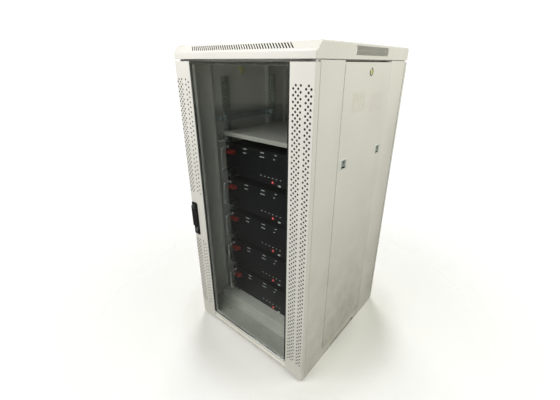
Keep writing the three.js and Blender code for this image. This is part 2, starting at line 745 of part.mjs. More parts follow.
for (const [sideName, side] of [["left", -1], ["right", 1]]) {
  addPiece(`front_post_${sideName}`, frontPost(side), MATERIALS.paint);
  addPiece(`rear_post_${sideName}`, rearPost(side), MATERIALS.paint);
  addPiece(`front_rail_${sideName}`, mountingRail(side, RAIL_DEPTH), MATERIALS.zinc);
  addPiece(`rear_rail_${sideName}`, mountingRail(side, REAR_RAIL_DEPTH), MATERIALS.zinc);
  for (const [level, bottom] of Object.entries(BRACE_LEVELS)) {
    addPiece(`${level}_brace_${sideName}`, depthBrace(side, bottom), MATERIALS.zinc);
  }
  addPiece(`side_panel_${sideName}`, sidePanel(side), MATERIALS.paint);
  for (const [place, depth] of Object.entries(LATCH_DEPTHS)) {
    addPiece(`panel_latch_${sideName}_${place}`, panelLatch(side, depth), MATERIALS.blackPlastic);
  }
  addPiece(`panel_lock_${sideName}`, panelLock(side), MATERIALS.chrome);
}

for (let i = 0; i < MODULE_COUNT; i++) {
  const name = `module_${i + 1}`;
  const bottom = TOP_MODULE_BOTTOM - i * MODULE_PITCH;
  const middle = bottom + MODULE_HEIGHT / 2;
  addPiece(`${name}_case`, moduleCase(bottom), MATERIALS.modulePaint);
  addPiece(`${name}_faceplate`, faceplate(bottom), MATERIALS.modulePaint);
  addPiece(`${name}_handle_left`, pullHandle(-PULL_X, middle), MATERIALS.chrome);
  addPiece(`${name}_handle_right`, pullHandle(PULL_X, middle), MATERIALS.chrome);
  addPiece(`${name}_power_button`, powerButton(bottom), MATERIALS.redPlastic);
}

addPiece("front_door_frame", frontDoorFrame(), MATERIALS.paint);
addPiece("front_door_glass", doorGlass(), MATERIALS.glass);
addPiece("glass_gasket", glassGasket(), MATERIALS.rubber);
addPiece("handle_plate", handlePlate(), MATERIALS.blackPlastic);
addPiece("handle_spindle", handleSpindle(), MATERIALS.zinc);
addPiece("handle_lever", handleLever(), MATERIALS.blackPlastic);
addPiece("handle_key_cylinder", handleCylinder(), MATERIALS.chrome);
addPiece("rear_door", rearDoor(), MATERIALS.paint);
addPiece("rear_key_cylinder", rearLock(), MATERIALS.chrome);

export default cabinet;
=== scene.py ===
"""The looks of a glass-fronted rack cabinet that holds five rack batteries.

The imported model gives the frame: its bodies, its nodes and their boxes. Each operator here finishes
one group of pieces around it, and the panel in the 3D view's sidebar lists them.
"""

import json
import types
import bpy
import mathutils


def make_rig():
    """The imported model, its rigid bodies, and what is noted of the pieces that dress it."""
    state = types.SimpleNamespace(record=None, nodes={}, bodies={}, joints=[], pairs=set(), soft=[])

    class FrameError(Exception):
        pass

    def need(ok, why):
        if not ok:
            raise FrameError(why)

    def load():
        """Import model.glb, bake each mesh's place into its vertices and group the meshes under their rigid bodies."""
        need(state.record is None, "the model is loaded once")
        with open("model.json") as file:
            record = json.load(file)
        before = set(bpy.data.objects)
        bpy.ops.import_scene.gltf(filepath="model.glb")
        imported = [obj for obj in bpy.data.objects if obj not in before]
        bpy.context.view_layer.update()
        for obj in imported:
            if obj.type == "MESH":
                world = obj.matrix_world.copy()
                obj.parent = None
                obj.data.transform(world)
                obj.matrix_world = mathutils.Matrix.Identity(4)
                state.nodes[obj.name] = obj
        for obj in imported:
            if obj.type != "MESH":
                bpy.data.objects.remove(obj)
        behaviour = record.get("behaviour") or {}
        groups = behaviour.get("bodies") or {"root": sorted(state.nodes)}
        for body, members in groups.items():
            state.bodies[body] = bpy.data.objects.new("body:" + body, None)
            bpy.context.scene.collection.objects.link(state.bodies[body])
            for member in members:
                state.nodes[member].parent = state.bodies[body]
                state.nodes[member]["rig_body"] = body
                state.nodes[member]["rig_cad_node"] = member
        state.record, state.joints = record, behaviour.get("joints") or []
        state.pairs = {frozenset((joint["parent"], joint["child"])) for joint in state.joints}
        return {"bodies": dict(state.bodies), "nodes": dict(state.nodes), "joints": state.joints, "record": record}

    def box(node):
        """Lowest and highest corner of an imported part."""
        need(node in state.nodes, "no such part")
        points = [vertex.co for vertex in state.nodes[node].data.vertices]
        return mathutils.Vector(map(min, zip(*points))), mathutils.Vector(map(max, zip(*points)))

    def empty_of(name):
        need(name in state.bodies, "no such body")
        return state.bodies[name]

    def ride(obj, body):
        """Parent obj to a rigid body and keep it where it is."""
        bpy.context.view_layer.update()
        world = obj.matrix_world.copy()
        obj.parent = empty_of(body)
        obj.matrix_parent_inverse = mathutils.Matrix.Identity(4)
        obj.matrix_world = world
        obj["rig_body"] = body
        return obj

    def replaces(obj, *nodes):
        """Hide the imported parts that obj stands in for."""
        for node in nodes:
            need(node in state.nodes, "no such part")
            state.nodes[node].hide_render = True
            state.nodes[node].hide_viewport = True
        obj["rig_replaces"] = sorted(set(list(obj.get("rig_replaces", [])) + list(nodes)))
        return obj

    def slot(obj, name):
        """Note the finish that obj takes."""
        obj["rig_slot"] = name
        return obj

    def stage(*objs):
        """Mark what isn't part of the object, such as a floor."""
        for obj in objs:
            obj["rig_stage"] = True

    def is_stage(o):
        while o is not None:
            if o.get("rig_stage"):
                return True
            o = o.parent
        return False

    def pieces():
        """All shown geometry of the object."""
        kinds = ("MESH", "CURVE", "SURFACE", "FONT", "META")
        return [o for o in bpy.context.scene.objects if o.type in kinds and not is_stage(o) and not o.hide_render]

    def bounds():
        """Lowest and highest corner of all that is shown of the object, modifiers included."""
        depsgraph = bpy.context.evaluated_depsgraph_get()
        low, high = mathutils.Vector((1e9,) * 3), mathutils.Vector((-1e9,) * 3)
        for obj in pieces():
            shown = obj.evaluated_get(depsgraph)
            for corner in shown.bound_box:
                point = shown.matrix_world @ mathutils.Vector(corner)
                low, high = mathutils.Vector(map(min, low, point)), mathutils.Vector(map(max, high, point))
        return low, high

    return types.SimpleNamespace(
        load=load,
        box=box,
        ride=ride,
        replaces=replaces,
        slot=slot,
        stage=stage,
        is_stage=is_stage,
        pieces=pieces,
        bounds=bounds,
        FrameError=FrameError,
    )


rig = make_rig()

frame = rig.load()

import json
import math

import bmesh
import bpy
import numpy as np
from mathutils import Matrix, Vector

bl_info = {
    "name": "Battery rack cabinet",
    "version": (1, 0, 0),
    "blender": (4, 5, 0),
    "location": "View3D > Sidebar > Cabinet",
    "description": "Finishes a rack cabinet with a perforated glass door and its battery modules",
    "category": "Object",
}

CAD_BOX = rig.bounds()
MM = 0.001
SIDES = (("left", -1), ("right", 1))
MODULES = range(1, 6)
# Rack equipment is screwed on along two lines, this far from the middle.
RACK_HOLE_X = 232.5 * MM
X, Y, Z = np.eye(3)
# The two in-plane directions and the outward direction of each way a part can face.
FACING = {
    "front": (X, Z, -Y),
    "right": (Y, Z, X),
    "left": (-Y, Z, -X),
    "top": (X, Y, Z),
}


def corners_of(node):
    """The lowest and highest corner of a CAD node, as arrays."""
    low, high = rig.box(node)
    return np.array(low), np.array(high)


DOOR_LOW, DOOR_HIGH = corners_of("front_door_frame")
GLASS_HIGH = corners_of("front_door_glass")[1]
HALF_WIDTH = DOOR_HIGH[0]
DOOR_Y = DOOR_LOW[1]
# Half the width of the door's opening, and the depth in millimetres of the ledge behind the pane.
WINDOW = GLASS_HIGH[0] + 0.3 * MM
SEAT_DEPTH = 9.1


def depth(millimetres):
    """The y of a depth counted back from the front door's face."""
    return DOOR_Y + millimetres * MM


# ---- properties ---------------------------------------------------------------------------------


def length(name, description, default):
    """A property for a length."""
    return bpy.props.FloatProperty(
        name=name, description=description, default=default, min=0, unit="LENGTH", subtype="DISTANCE"
    )


def colour(name, description, default):
    """A property for a colour."""
    return bpy.props.FloatVectorProperty(
        name=name, description=description, default=default, size=3, min=0, max=1, subtype="COLOR"
    )


def amount(name, description, default):
    """A property for a plain number that isn't negative."""
    return bpy.props.FloatProperty(name=name, description=description, default=default, min=0)


class CabinetPaintSettings(bpy.types.PropertyGroup):
    """Coats on the steel"""

    enclosure: colour("Enclosure", "Powder coat on the frame, panels and doors", (0.77, 0.757, 0.725))
    shelf: colour("Shelf", "Grey coat on the equipment shelf", (0.55, 0.53, 0.5))
    zinc: colour("Zinc", "Plated mounting rails and braces", (0.74, 0.79, 0.8))
    roughness: amount("Roughness", "Roughness of the powder coat", 0.42)


class CabinetSheetSettings(bpy.types.PropertyGroup):
    """Sheet steel"""

    thickness: length("Thickness", "Sheet steel of the doors, posts and roof", 1.5 * MM)
    bend_radius: length("Bend radius", "Radius of a fold at the middle of the sheet", 1.8 * MM)
    edge_radius: length("Edge radius", "Softening of cut and pressed edges", 0.6 * MM)


class CabinetDoorSettings(bpy.types.PropertyGroup):
    """Front door"""

    hole_diameter: length("Hole diameter", "Round holes along the stiles", 7.0 * MM)
    row_pitch: length("Row pitch", "Height between staggered rows of holes", 8.5 * MM)
    glass_tint: colour("Glass tint", "Colour that the smoked pane lets through", (0.62, 0.645, 0.62))
    gasket: colour("Gasket", "Rubber between pane and frame", (0.012, 0.012, 0.012))


class CabinetRackSettings(bpy.types.PropertyGroup):
    """Mounting rails"""

    unit_height: length("Rack unit", "Height of one rack unit", 44.45 * MM)
    square_hole: length("Square hole", "Width of a cage-nut hole", 9.5 * MM)
    unit_count: bpy.props.IntProperty(
        name="Rack units", description="Rack units on a mounting rail", default=22, min=1
    )


class CabinetModuleSettings(bpy.types.PropertyGroup):
    """Battery modules"""

    case: colour("Case", "Textured black coat of the battery cases", (0.006, 0.006, 0.009))
    terminal: colour("Terminal", "Red power terminals", (0.3, 0.03, 0.02))
    # The pale windows, rocker switch and blank plates take this colour with a painted glow.
    indicator: colour("Indicator", "Pale indicator windows", (0.6, 0.64, 0.62))
    button: colour("Button", "Red power button", (0.75, 0.05, 0.05))


class CabinetStageSettings(bpy.types.PropertyGroup):
    """Lights and camera"""

    key_power: amount("Key power", "Watts of the soft light in front", 40)
    side_power: amount("Side power", "Watts of the soft light over the right side", 39)
    back_power: amount("Back power", "Watts of the soft light behind the left side", 90)
    fill_power: amount("Fill power", "Watts of the soft light at the front right", 17)
    surround: amount("Surround", "Strength of the even light all round", 0.2)
    lens: bpy.props.FloatProperty(
        name="Lens", description="Focal length in millimetres", default=19.88, subtype="DISTANCE_CAMERA"
    )


# ---- shapes -------------------------------------------------------------------------------------
# A shape is (points, faces): an array of points, and a list of index arrays, one for each face size.


def join(shapes):
    """One shape from several: their points end to end, with each face's indices moved along."""
    points, faces, start = [], [], 0
    for shape_points, shape_faces in shapes:
        points.append(shape_points)
        faces += [group + start for group in shape_faces]
        start += len(shape_points)
    return np.concatenate(points), faces


def folded(corners, radius, stops=None, steps=4):
    """A line in the plane with each inner corner rounded by an arc. Each arc touches the two straight
    lines at radius times the tangent of half the turn. Returns points and normals to the left.
    stops[i] lists extra distances along straight i, counted from corner i."""
    corners = np.array(corners, float)
    legs = np.diff(corners, axis=0)
    directions = legs / np.linalg.norm(legs, axis=1)[:, None]
    left = np.column_stack([-directions[:, 1], directions[:, 0]])
    points, normals = [corners[:1]], [left[:1]]
    for i, (direction, side) in enumerate(zip(directions, left)):
        for distance in (stops or {}).get(i, ()):
            points.append((corners[i] + direction * distance)[None])
            normals.append(side[None])
        if i + 1 == len(directions):
            break
        turn = math.atan2(np.dot(directions[i + 1], side), np.dot(directions[i + 1], direction))
        reach, sign = radius * math.tan(abs(turn) / 2), math.copysign(1, turn)
        centre = corners[i + 1] - direction * reach + side * radius * sign
        angles = np.linspace(0, turn, steps + 1)[:, None]
        arc_normals = side * np.cos(angles) - direction * np.sin(angles)
        points.append(centre - arc_normals * radius * sign)
        normals.append(arc_normals)
    points.append(corners[-1:])
    normals.append(left[-1:])
    return np.concatenate(points), np.concatenate(normals)


def inset(points, distance):
    """A line moved to its right by a distance, with each corner on the mitre of its two sides."""
    points = np.array(points, float)
    legs = np.diff(points, axis=0)
    right = np.column_stack([legs[:, 1], -legs[:, 0]]) / np.linalg.norm(legs, axis=1)[:, None]
    before, after = np.vstack([right[:1], right]), np.vstack([right, right[-1:]])
    mitre = before + after
    return points + distance * mitre / (mitre * before).sum(1)[:, None]


def upright(line, normals, heights):
    """The grid of an (x, y) line carried up through heights, and its normals."""
    heights = np.asarray(heights, float)
    grid = np.zeros((len(line), len(heights), 3))
    grid[..., :2], grid[..., 2] = line[:, None], heights
    across = np.zeros_like(grid)
    across[..., :2] = normals[:, None]
    return grid, across


def crosswise(line, normals, stations):
    """The grid of a (y, z) line carried across through stations in x, and its normals."""
    grid = np.zeros((len(line), len(stations), 3))
    grid[..., 1:], grid[..., 0] = line[:, None], np.asarray(stations, float)
    across = np.zeros_like(grid)
    across[..., 1:] = normals[:, None]
    return grid, across


def flat(origin, facing, us, vs):
    """The grid of a flat plate: origin plus u and v along the two directions of its facing."""
    p, q, out = FACING[facing]
    grid = origin + np.multiply.outer(us, p)[:, None] + np.multiply.outer(vs, q)[None]
    return grid, np.broadcast_to(out, grid.shape)


def sheet(grid, normals, thickness, holes=None, outlines=(), missing=None, shaded_skin=None):
    """A sheet of even thickness over a grid of cells. Each skin is the grid moved half the thickness
    along or against the normals. A cell whose number in holes is k has the hole outlines[k - 1]: four
    flat pieces join the cell's corners to the four quarters of the outline, on both skins, and a wall
    joins the two outlines. Walls close the sheet at its border and round missing cells. Where the last
    argument is 0 or 1, that skin's points get a fourth number of 1 and the other skin's a 0: the skin
    marked 1 is the inside of a hollow section, on which the coat paints shade."""
    columns, rows = grid.shape[0] - 1, grid.shape[1] - 1
    holes = np.zeros((columns, rows), int) if holes is None else holes
    present = np.ones((columns, rows), bool) if missing is None else ~missing
    skins = np.stack([grid + normals * thickness / 2, grid - normals * thickness / 2])
    ids = np.arange(skins[..., 0].size).reshape(skins.shape[:3])
    cells = np.stack([ids[:, :-1, :-1], ids[:, 1:, :-1], ids[:, 1:, 1:], ids[:, :-1, 1:]], axis=-1)
    plain = present & (holes == 0)
    quads = [cells[0][plain], cells[1][plain][:, ::-1]]
    padded = np.pad(present, 1)
    walls = (
        (padded[1:, 1:-1] & ~padded[:-1, 1:-1], ids[:, :, :-1], ids[:, :, 1:]),
        (padded[:-1, 1:-1] & ~padded[1:, 1:-1], ids[:, :, 1:], ids[:, :, :-1]),
        (padded[1:-1, 1:] & ~padded[1:-1, :-1], ids[:, 1:, :], ids[:, :-1, :]),
        (padded[1:-1, :-1] & ~padded[1:-1, 1:], ids[:, :-1, :], ids[:, 1:, :]),
    )
    for where, first, second in walls:
        quads.append(
            np.stack([first[0][where], second[0][where], second[1][where], first[1][where]], axis=-1)
        )
    points, faces = [skins.reshape(-1, 3)], [np.concatenate(quads)]
    start, layers = ids.size, [ids.size // 2]
    for kind, outline in enumerate(outlines, 1):
        where = present & (holes == kind)
        count, sides = int(where.sum()), len(outline)
        if not count:
            continue
        corners = skins.reshape(-1, 3)[cells[:, where]]
        along_u = corners[:, :, [1, 2]].mean(2) - corners[:, :, [0, 3]].mean(2)
        along_v = corners[:, :, [2, 3]].mean(2) - corners[:, :, [0, 1]].mean(2)
        along_u /= np.linalg.norm(along_u, axis=-1, keepdims=True)
        along_v /= np.linalg.norm(along_v, axis=-1, keepdims=True)
        rims = (
            corners.mean(2)[:, :, None]
            + outline[:, :1] * along_u[:, :, None]
            + outline[:, 1:] * along_v[:, :, None]
        )
        points.append(rims.reshape(-1, 3))
        layers.append(count * sides)
        rim = start + np.arange(2 * count * sides).reshape(2, count, sides)
        start += rim.size
        quarter = sides // 4
        joined = []
        for side in range(4):
            arc = (quarter * (side + 1) - np.arange(quarter + 1)) % sides
            ends = cells[:, where][:, :, [side, (side + 1) % 4]]
            joined.append(np.concatenate([ends, rim[:, :, arc]], axis=-1))
        pieces = np.concatenate(joined, axis=1)
        ahead = np.roll(rim, -1, axis=2)
        wall = np.stack([rim[0], ahead[0], ahead[1], rim[1]], axis=-1)
        faces += [pieces[0], pieces[1][:, ::-1], wall.reshape(-1, 4)]
    turning = np.cross(grid[1, 0] - grid[0, 0], grid[0, 1] - grid[0, 0]) @ normals[0, 0]
    if turning < 0:
        faces = [group[:, ::-1] for group in faces]
    points = np.concatenate(points)
    # The fourth number marks the skin on which the coat paints shade.
    if shaded_skin is not None:
        shade = [np.repeat([1 - shaded_skin, shaded_skin], size) for size in layers]
        points = np.column_stack([points, np.concatenate(shade)])
    return points, faces


def round_hole(radius, sides=12):
    """A circle that starts at the lower left, so that its quarters face a cell's four sides."""
    angles = math.radians(-135) + np.arange(sides) * 2 * math.pi / sides
    return radius * np.column_stack([np.cos(angles), np.sin(angles)])


def square_hole(width):
    """The four corners of a square, starting at the lower left."""
    return np.array([(-1, -1), (1, -1), (1, 1), (-1, 1)]) * width / 2


def slanted_slot(width, height, lean):
    """A four-cornered slot whose top is moved sideways by lean."""
    low, high = -lean / 2, lean / 2
    w, h = width / 2, height / 2
    return np.array([(low - w, -h), (low + w, -h), (high + w, h), (high - w, h)])


def rounded_outline(half_u, half_v, radius, steps=5):
    """Returns a function of an inset that gives a rectangle with round corners, drawn in by it: a
    quarter circle turned to each corner and moved to its centre."""

    def outline(inset):
        r = max(radius - inset, 0.02 * MM)
        angles = np.linspace(0, math.pi / 2, steps + 1)
        quarter = r * np.column_stack([np.cos(angles), np.sin(angles)])
        a, b = half_u - inset - r, half_v - inset - r
        parts = []
        for turn, middle in enumerate(((a, b), (-a, b), (-a, -b), (a, -b))):
            c, s = math.cos(turn * math.pi / 2), math.sin(turn * math.pi / 2)
            parts.append(quarter @ np.array([(c, s), (-s, c)]) + middle)
        return np.concatenate(parts)

    return outline


def circle_outline(radius, sides=40):
    """Returns a function of an inset that gives a circle, its radius less the inset."""

    def outline(inset):
        angles = np.arange(sides) * 2 * math.pi / sides
        return (radius - inset) * np.column_stack([np.cos(angles), np.sin(angles)])

    return outline


def raised(outline, profile, origin, facing):
    """A solid whose side is a profile carried round an outline. Each profile point is an inset and a
    height in millimetres and makes one ring, and flat faces close the first and last ring."""
    p, q, out = FACING[facing]
    rings = []
    for inset, height in profile:
        flat_ring = outline(inset * MM)
        rings.append(origin + flat_ring[:, :1] * p + flat_ring[:, 1:] * q + height * MM * out)
    points = np.stack(rings)
    ids = np.arange(points[..., 0].size).reshape(points.shape[:2])
    ahead = np.roll(ids, -1, axis=1)
    sides = np.stack([ids[:-1], ahead[:-1], ahead[1:], ids[1:]], axis=-1)
    faces = [sides.reshape(-1, 4), ids[:1, ::-1], ids[-1:]]
    return points.reshape(-1, 3), faces


def bar(path, sideways, radius, sides=20):
    """A round bar along a flat path: circles set square to the path, between the direction sideways
    and the one square to it, with flat ends."""
    along = np.gradient(path, axis=0)
    along /= np.linalg.norm(along, axis=1)[:, None]
    upward = np.cross(along, sideways)
    angles = np.arange(sides) * 2 * math.pi / sides
    rings = (
        path[:, None]
        + radius * np.cos(angles)[None, :, None] * sideways
        + radius * np.sin(angles)[None, :, None] * upward[:, None]
    )
    ids = np.arange(rings[..., 0].size).reshape(rings.shape[:2])
    ahead = np.roll(ids, -1, axis=1)
    quads = np.stack([ids[:-1], ids[1:], ahead[1:], ahead[:-1]], axis=-1)
    return rings.reshape(-1, 3), [quads.reshape(-1, 4), ids[:1], ids[-1:, ::-1]]


# ---- pieces -------------------------------------------------------------------------------------


def finish_mesh(mesh, material, smooth_angle=35):
    """Gives a mesh its material, and smooth faces that part at edges sharper than the angle."""
    mesh.materials.clear()
    mesh.materials.append(material)
    mesh.polygons.foreach_set("use_smooth", np.ones(len(mesh.polygons), bool))
    mesh.set_sharp_from_angle(angle=math.radians(smooth_angle))


def put(name, shape, material, body, slot, replaced=()):
    """A new piece from a shape, riding on a body. A fourth number of the points, where there is one,
    becomes the attribute on which the coat paints shade inside a hollow section."""
    points, faces = shape
    mesh = bpy.data.meshes.new(name)
    listed = [face for group in faces for face in group.tolist()]
    mesh.from_pydata(points[:, :3].tolist(), [], listed)
    mesh.update()
    if points.shape[1] == 4:
        # Painted shade: this attribute marks the inner skin that the coat darkens.
        inner = mesh.attributes.new("inner_skin", "FLOAT", "POINT")
        inner.data.foreach_set("value", points[:, 3].astype(np.float32))
    finish_mesh(mesh, material)
    piece = bpy.data.objects.new(name, mesh)
    bpy.context.scene.collection.objects.link(piece)
    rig.ride(piece, body)
    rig.slot(piece, slot)
    if replaced:
        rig.replaces(piece, *replaced)
    return piece


def soften(node, material, slot, radius, segments=2):
    """A finished copy of a CAD node: its triangles merged into flat faces, its edges rounded."""
    source = frame["nodes"][node]
    mesh = source.data.copy()
    mesh.name = node + "_finish"
    made = bmesh.new()
    made.from_mesh(mesh)
    bmesh.ops.remove_doubles(made, verts=made.verts, dist=1e-5)
    bmesh.ops.dissolve_limit(
        made, angle_limit=math.radians(1), use_dissolve_boundaries=False, verts=made.verts, edges=made.edges
    )
    made.to_mesh(mesh)
    made.free()
    for attribute in list(mesh.attributes):
        if attribute.name.startswith("custom_normal"):
            mesh.attributes.remove(attribute)
    finish_mesh(mesh, material)
    piece = bpy.data.objects.new(mesh.name, mesh)
    bpy.context.scene.collection.objects.link(piece)
    bevel = piece.modifiers.new("edges", "BEVEL")
    bevel.width, bevel.segments = radius, segments
    bevel.limit_method, bevel.angle_limit = "ANGLE", math.radians(30)
    bevel.harden_normals = True
    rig.ride(piece, source["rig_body"])
    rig.slot(piece, slot)
    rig.replaces(piece, node)
    return piece


# ---- materials ----------------------------------------------------------------------------------


def new_group(name, inputs, outputs):
    """A shader node group with its sockets, and its input and output nodes."""
    group = bpy.data.node_groups.new(name, "ShaderNodeTree")
    for direction, sockets in (("INPUT", inputs), ("OUTPUT", outputs)):
        for label, kind, default in sockets:
            socket = group.interface.new_socket(label, in_out=direction, socket_type=kind)
            if default is not None:
                socket.default_value = default
    return group, group.nodes.new("NodeGroupInput"), group.nodes.new("NodeGroupOutput")


def add_math(tree, operation, first, second, clamp=False):
    """A math node on two sockets or numbers."""
    node = tree.nodes.new("ShaderNodeMath")
    node.operation, node.use_clamp = operation, clamp
    for socket, value in zip(node.inputs, (first, second)):
        if isinstance(value, bpy.types.NodeSocket):
            tree.links.new(value, socket)
        else:
            socket.default_value = value
    return node.outputs[0]


def add_noise(tree, vector, scale, detail=3.0, roughness=0.5):
    """A noise over a vector, whose scale is a socket or a number."""
    node = tree.nodes.new("ShaderNodeTexNoise")
    node.inputs["Detail"].default_value = detail
    node.inputs["Roughness"].default_value = roughness
    tree.links.new(vector, node.inputs["Vector"])
    if isinstance(scale, bpy.types.NodeSocket):
        tree.links.new(scale, node.inputs["Scale"])
    else:
        node.inputs["Scale"].default_value = scale
    return node.outputs["Fac"]


def grain_group():
    """Fine grain: a noise at the grain's own scale for the height, and a broad one for the mask."""
    group, entry, leave = new_group(
        "fine_grain",
        (("Grains per metre", "NodeSocketFloat", 900.0), ("Patches per metre", "NodeSocketFloat", 6.0)),
        (("Height", "NodeSocketFloat", None), ("Patches", "NodeSocketFloat", None)),
    )
    place = group.nodes.new("ShaderNodeTexCoord").outputs["Object"]
    fine = add_noise(group, place, entry.outputs["Grains per metre"], 2.0)
    broad = add_noise(group, place, entry.outputs["Patches per metre"], 4.0)
    group.links.new(fine, leave.inputs["Height"])
    group.links.new(broad, leave.inputs["Patches"])
    return group


def dust_and_shade_group():
    """Dust and rubbing with painted shade: a mask that grows towards the floor, broken up by a noise.
    A large amount paints the shade at the foot of the cabinet.
    """
    group, entry, leave = new_group(
        "floor_dust",
        (("Reach", "NodeSocketFloat", 0.3), ("Amount", "NodeSocketFloat", 0.5)),
        (("Mask", "NodeSocketFloat", None),),
    )
    place = group.nodes.new("ShaderNodeTexCoord").outputs["Object"]
    split = group.nodes.new("ShaderNodeSeparateXYZ")
    group.links.new(place, split.inputs[0])
    share = add_math(group, "DIVIDE", split.outputs["Z"], entry.outputs["Reach"])
    low = add_math(group, "SUBTRACT", 1.0, share, clamp=True)
    low = add_math(group, "MULTIPLY", low, low)
    patches = add_noise(group, place, 14.0, 5.0, 0.6)
    mask = add_math(group, "MULTIPLY", low, patches)
    mask = add_math(group, "MULTIPLY", mask, entry.outputs["Amount"], clamp=True)
    group.links.new(mask, leave.inputs["Mask"])
    return group


def scuff_group():
    """Scuffs: long thin marks, from a noise squeezed along one direction and cut to its peaks."""
    group, entry, leave = new_group(
        "scuffs",
        (("Along", "NodeSocketVector", (60.0, 60.0, 4.0)), ("Rarity", "NodeSocketFloat", 0.68)),
        (("Mask", "NodeSocketFloat", None),),
    )
    place = group.nodes.new("ShaderNodeTexCoord").outputs["Object"]
    squeeze = group.nodes.new("ShaderNodeVectorMath")
    squeeze.operation = "MULTIPLY"
    group.links.new(place, squeeze.inputs[0])
    group.links.new(entry.outputs["Along"], squeeze.inputs[1])
    marks = add_noise(group, squeeze.outputs[0], 1.0, 4.0, 0.55)
    over = add_math(group, "SUBTRACT", marks, entry.outputs["Rarity"], clamp=True)
    group.links.new(add_math(group, "MULTIPLY", over, 9.0, clamp=True), leave.inputs["Mask"])
    return group


def place_group(tree, name, **values):
    """A group node in a material, with values given to its inputs."""
    node = tree.nodes.new("ShaderNodeGroup")
    node.node_tree = bpy.data.node_groups[name]
    for label, value in values.items():
        node.inputs[label.replace("_", " ")].default_value = value
    return node


def mix_colours(tree, mask, first, second):
    """The first colour where the mask is 0 and the second where it is 1."""
    node = tree.nodes.new("ShaderNodeMix")
    node.data_type = "RGBA"
    tree.links.new(mask, node.inputs["Factor"])
    for socket, value in ((node.inputs[6], first), (node.inputs[7], second)):
        if isinstance(value, bpy.types.NodeSocket):
            tree.links.new(value, socket)
        else:
            socket.default_value = (*value, 1)
    return node.outputs[2]


def range_of(tree, value, low, high):
    """A noise's usual range, 0.3 to 0.7, spread from low to high."""
    node = tree.nodes.new("ShaderNodeMapRange")
    tree.links.new(value, node.inputs["Value"])
    node.inputs["From Min"].default_value, node.inputs["From Max"].default_value = 0.3, 0.7
    node.inputs["To Min"].default_value, node.inputs["To Max"].default_value = low, high
    return node.outputs[0]


def scaled(base, factor):
    """A colour times a factor."""
    return tuple(min(1.0, part * factor) for part in base)


def bare_material(name):
    """A new material, its node tree and its shader."""
    material = bpy.data.materials.new(name)
    material.use_nodes = True
    tree = material.node_tree
    return material, tree, tree.nodes["Principled BSDF"]


# Dust, with painted shade in a greenish cast: the tint mixed in towards the floor.
DUST_AND_SHADE = (0.3, 0.3, 0.23)
SCUFF_SHADE = 0.45
GRAIN_HEIGHT = 0.4 * MM


def coated(
    name, base, roughness, grains=900.0, bump=0.05, metallic=0.0, spread=0.05,
    dust_and_shade=0.35, reach=0.3, scuff=0.12, coat=0.0, painted_inner_shade=None,
):
    """A coated or plated surface: a patchy colour, scuffs and a fine grain, darker towards the floor
    below the height reach. Dust and painted shade make that darkening. Where the inner shade is
    given, the inner skin of a hollow section has the colour times it: painted shade."""
    material, tree, shader = bare_material(name)
    grain = place_group(tree, "fine_grain", Grains_per_metre=grains)
    # Dust and painted shade: the mask darkens the coat towards the floor, as shade where the amount is large.
    dust_and_shade_node = place_group(tree, "floor_dust", Reach=reach, Amount=dust_and_shade)
    rubbed = place_group(tree, "scuffs")
    tone = mix_colours(tree, grain.outputs["Patches"], scaled(base, 1 - spread), scaled(base, 1 + spread))
    faint = add_math(tree, "MULTIPLY", rubbed.outputs["Mask"], scuff)
    tone = mix_colours(tree, faint, tone, scaled(base, SCUFF_SHADE))
    tone = mix_colours(tree, dust_and_shade_node.outputs["Mask"], tone, DUST_AND_SHADE)
    # Painted shade: the inner skin of a hollow section takes the colour times the inner shade.
    if painted_inner_shade is not None:
        inner = tree.nodes.new("ShaderNodeAttribute")
        inner.attribute_name = "inner_skin"
        tone = mix_colours(tree, inner.outputs["Fac"], tone, scaled(base, painted_inner_shade))
    tree.links.new(tone, shader.inputs["Base Color"])
    worn = range_of(tree, grain.outputs["Patches"], roughness * 0.88, roughness * 1.12)
    tree.links.new(add_math(tree, "ADD", worn, faint, clamp=True), shader.inputs["Roughness"])
    shader.inputs["Metallic"].default_value = metallic
    shader.inputs["Coat Weight"].default_value = coat
    bumped = tree.nodes.new("ShaderNodeBump")
    bumped.inputs["Strength"].default_value = bump
    bumped.inputs["Distance"].default_value = GRAIN_HEIGHT
    tree.links.new(grain.outputs["Height"], bumped.inputs["Height"])
    tree.links.new(bumped.outputs["Normal"], shader.inputs["Normal"])
    return material


def soft_box(tree, centre, half, softness):
    """A mask that is 1 inside a box in y and z: for each, the distance inside the box's side over the
    softness, cut to 0 to 1, and the two multiplied."""
    split = tree.nodes.new("ShaderNodeSeparateXYZ")
    tree.links.new(tree.nodes.new("ShaderNodeTexCoord").outputs["Object"], split.inputs[0])
    mask = 1.0
    for axis, middle, reach in zip("YZ", centre, half):
        off = add_math(tree, "ABSOLUTE", add_math(tree, "SUBTRACT", split.outputs[axis], middle), 0.0)
        inside = add_math(tree, "DIVIDE", add_math(tree, "SUBTRACT", reach, off), softness, clamp=True)
        mask = add_math(tree, "MULTIPLY", inside, mask)
    return mask


# Each mark's centre and half size in y and z, and the coat's tint under it.
TAPE_MARKS = (
    ((depth(250), 1.035), (0.046, 0.032), (0.92, 0.88, 0.83)),
    ((depth(380), 1.025), (0.05, 0.034), (0.96, 0.93, 0.92)),
)


def add_tape_marks(material, base):
    """Faint marks that old tape left: two soft boxes broken up by a noise, mixed over the coat."""
    tree = material.node_tree
    shader = tree.nodes["Principled BSDF"]
    place = tree.nodes.new("ShaderNodeTexCoord").outputs["Object"]
    broken = range_of(tree, add_noise(tree, place, 45.0, 5.0, 0.7), 0.05, 0.95)
    for centre, half, shade in TAPE_MARKS:
        mask = add_math(tree, "MULTIPLY", soft_box(tree, centre, half, 4 * MM), broken)
        under = shader.inputs["Base Color"].links[0].from_socket
        marked = mix_colours(tree, mask, under, tuple(a * b for a, b in zip(base, shade)))
        tree.links.new(marked, shader.inputs["Base Color"])


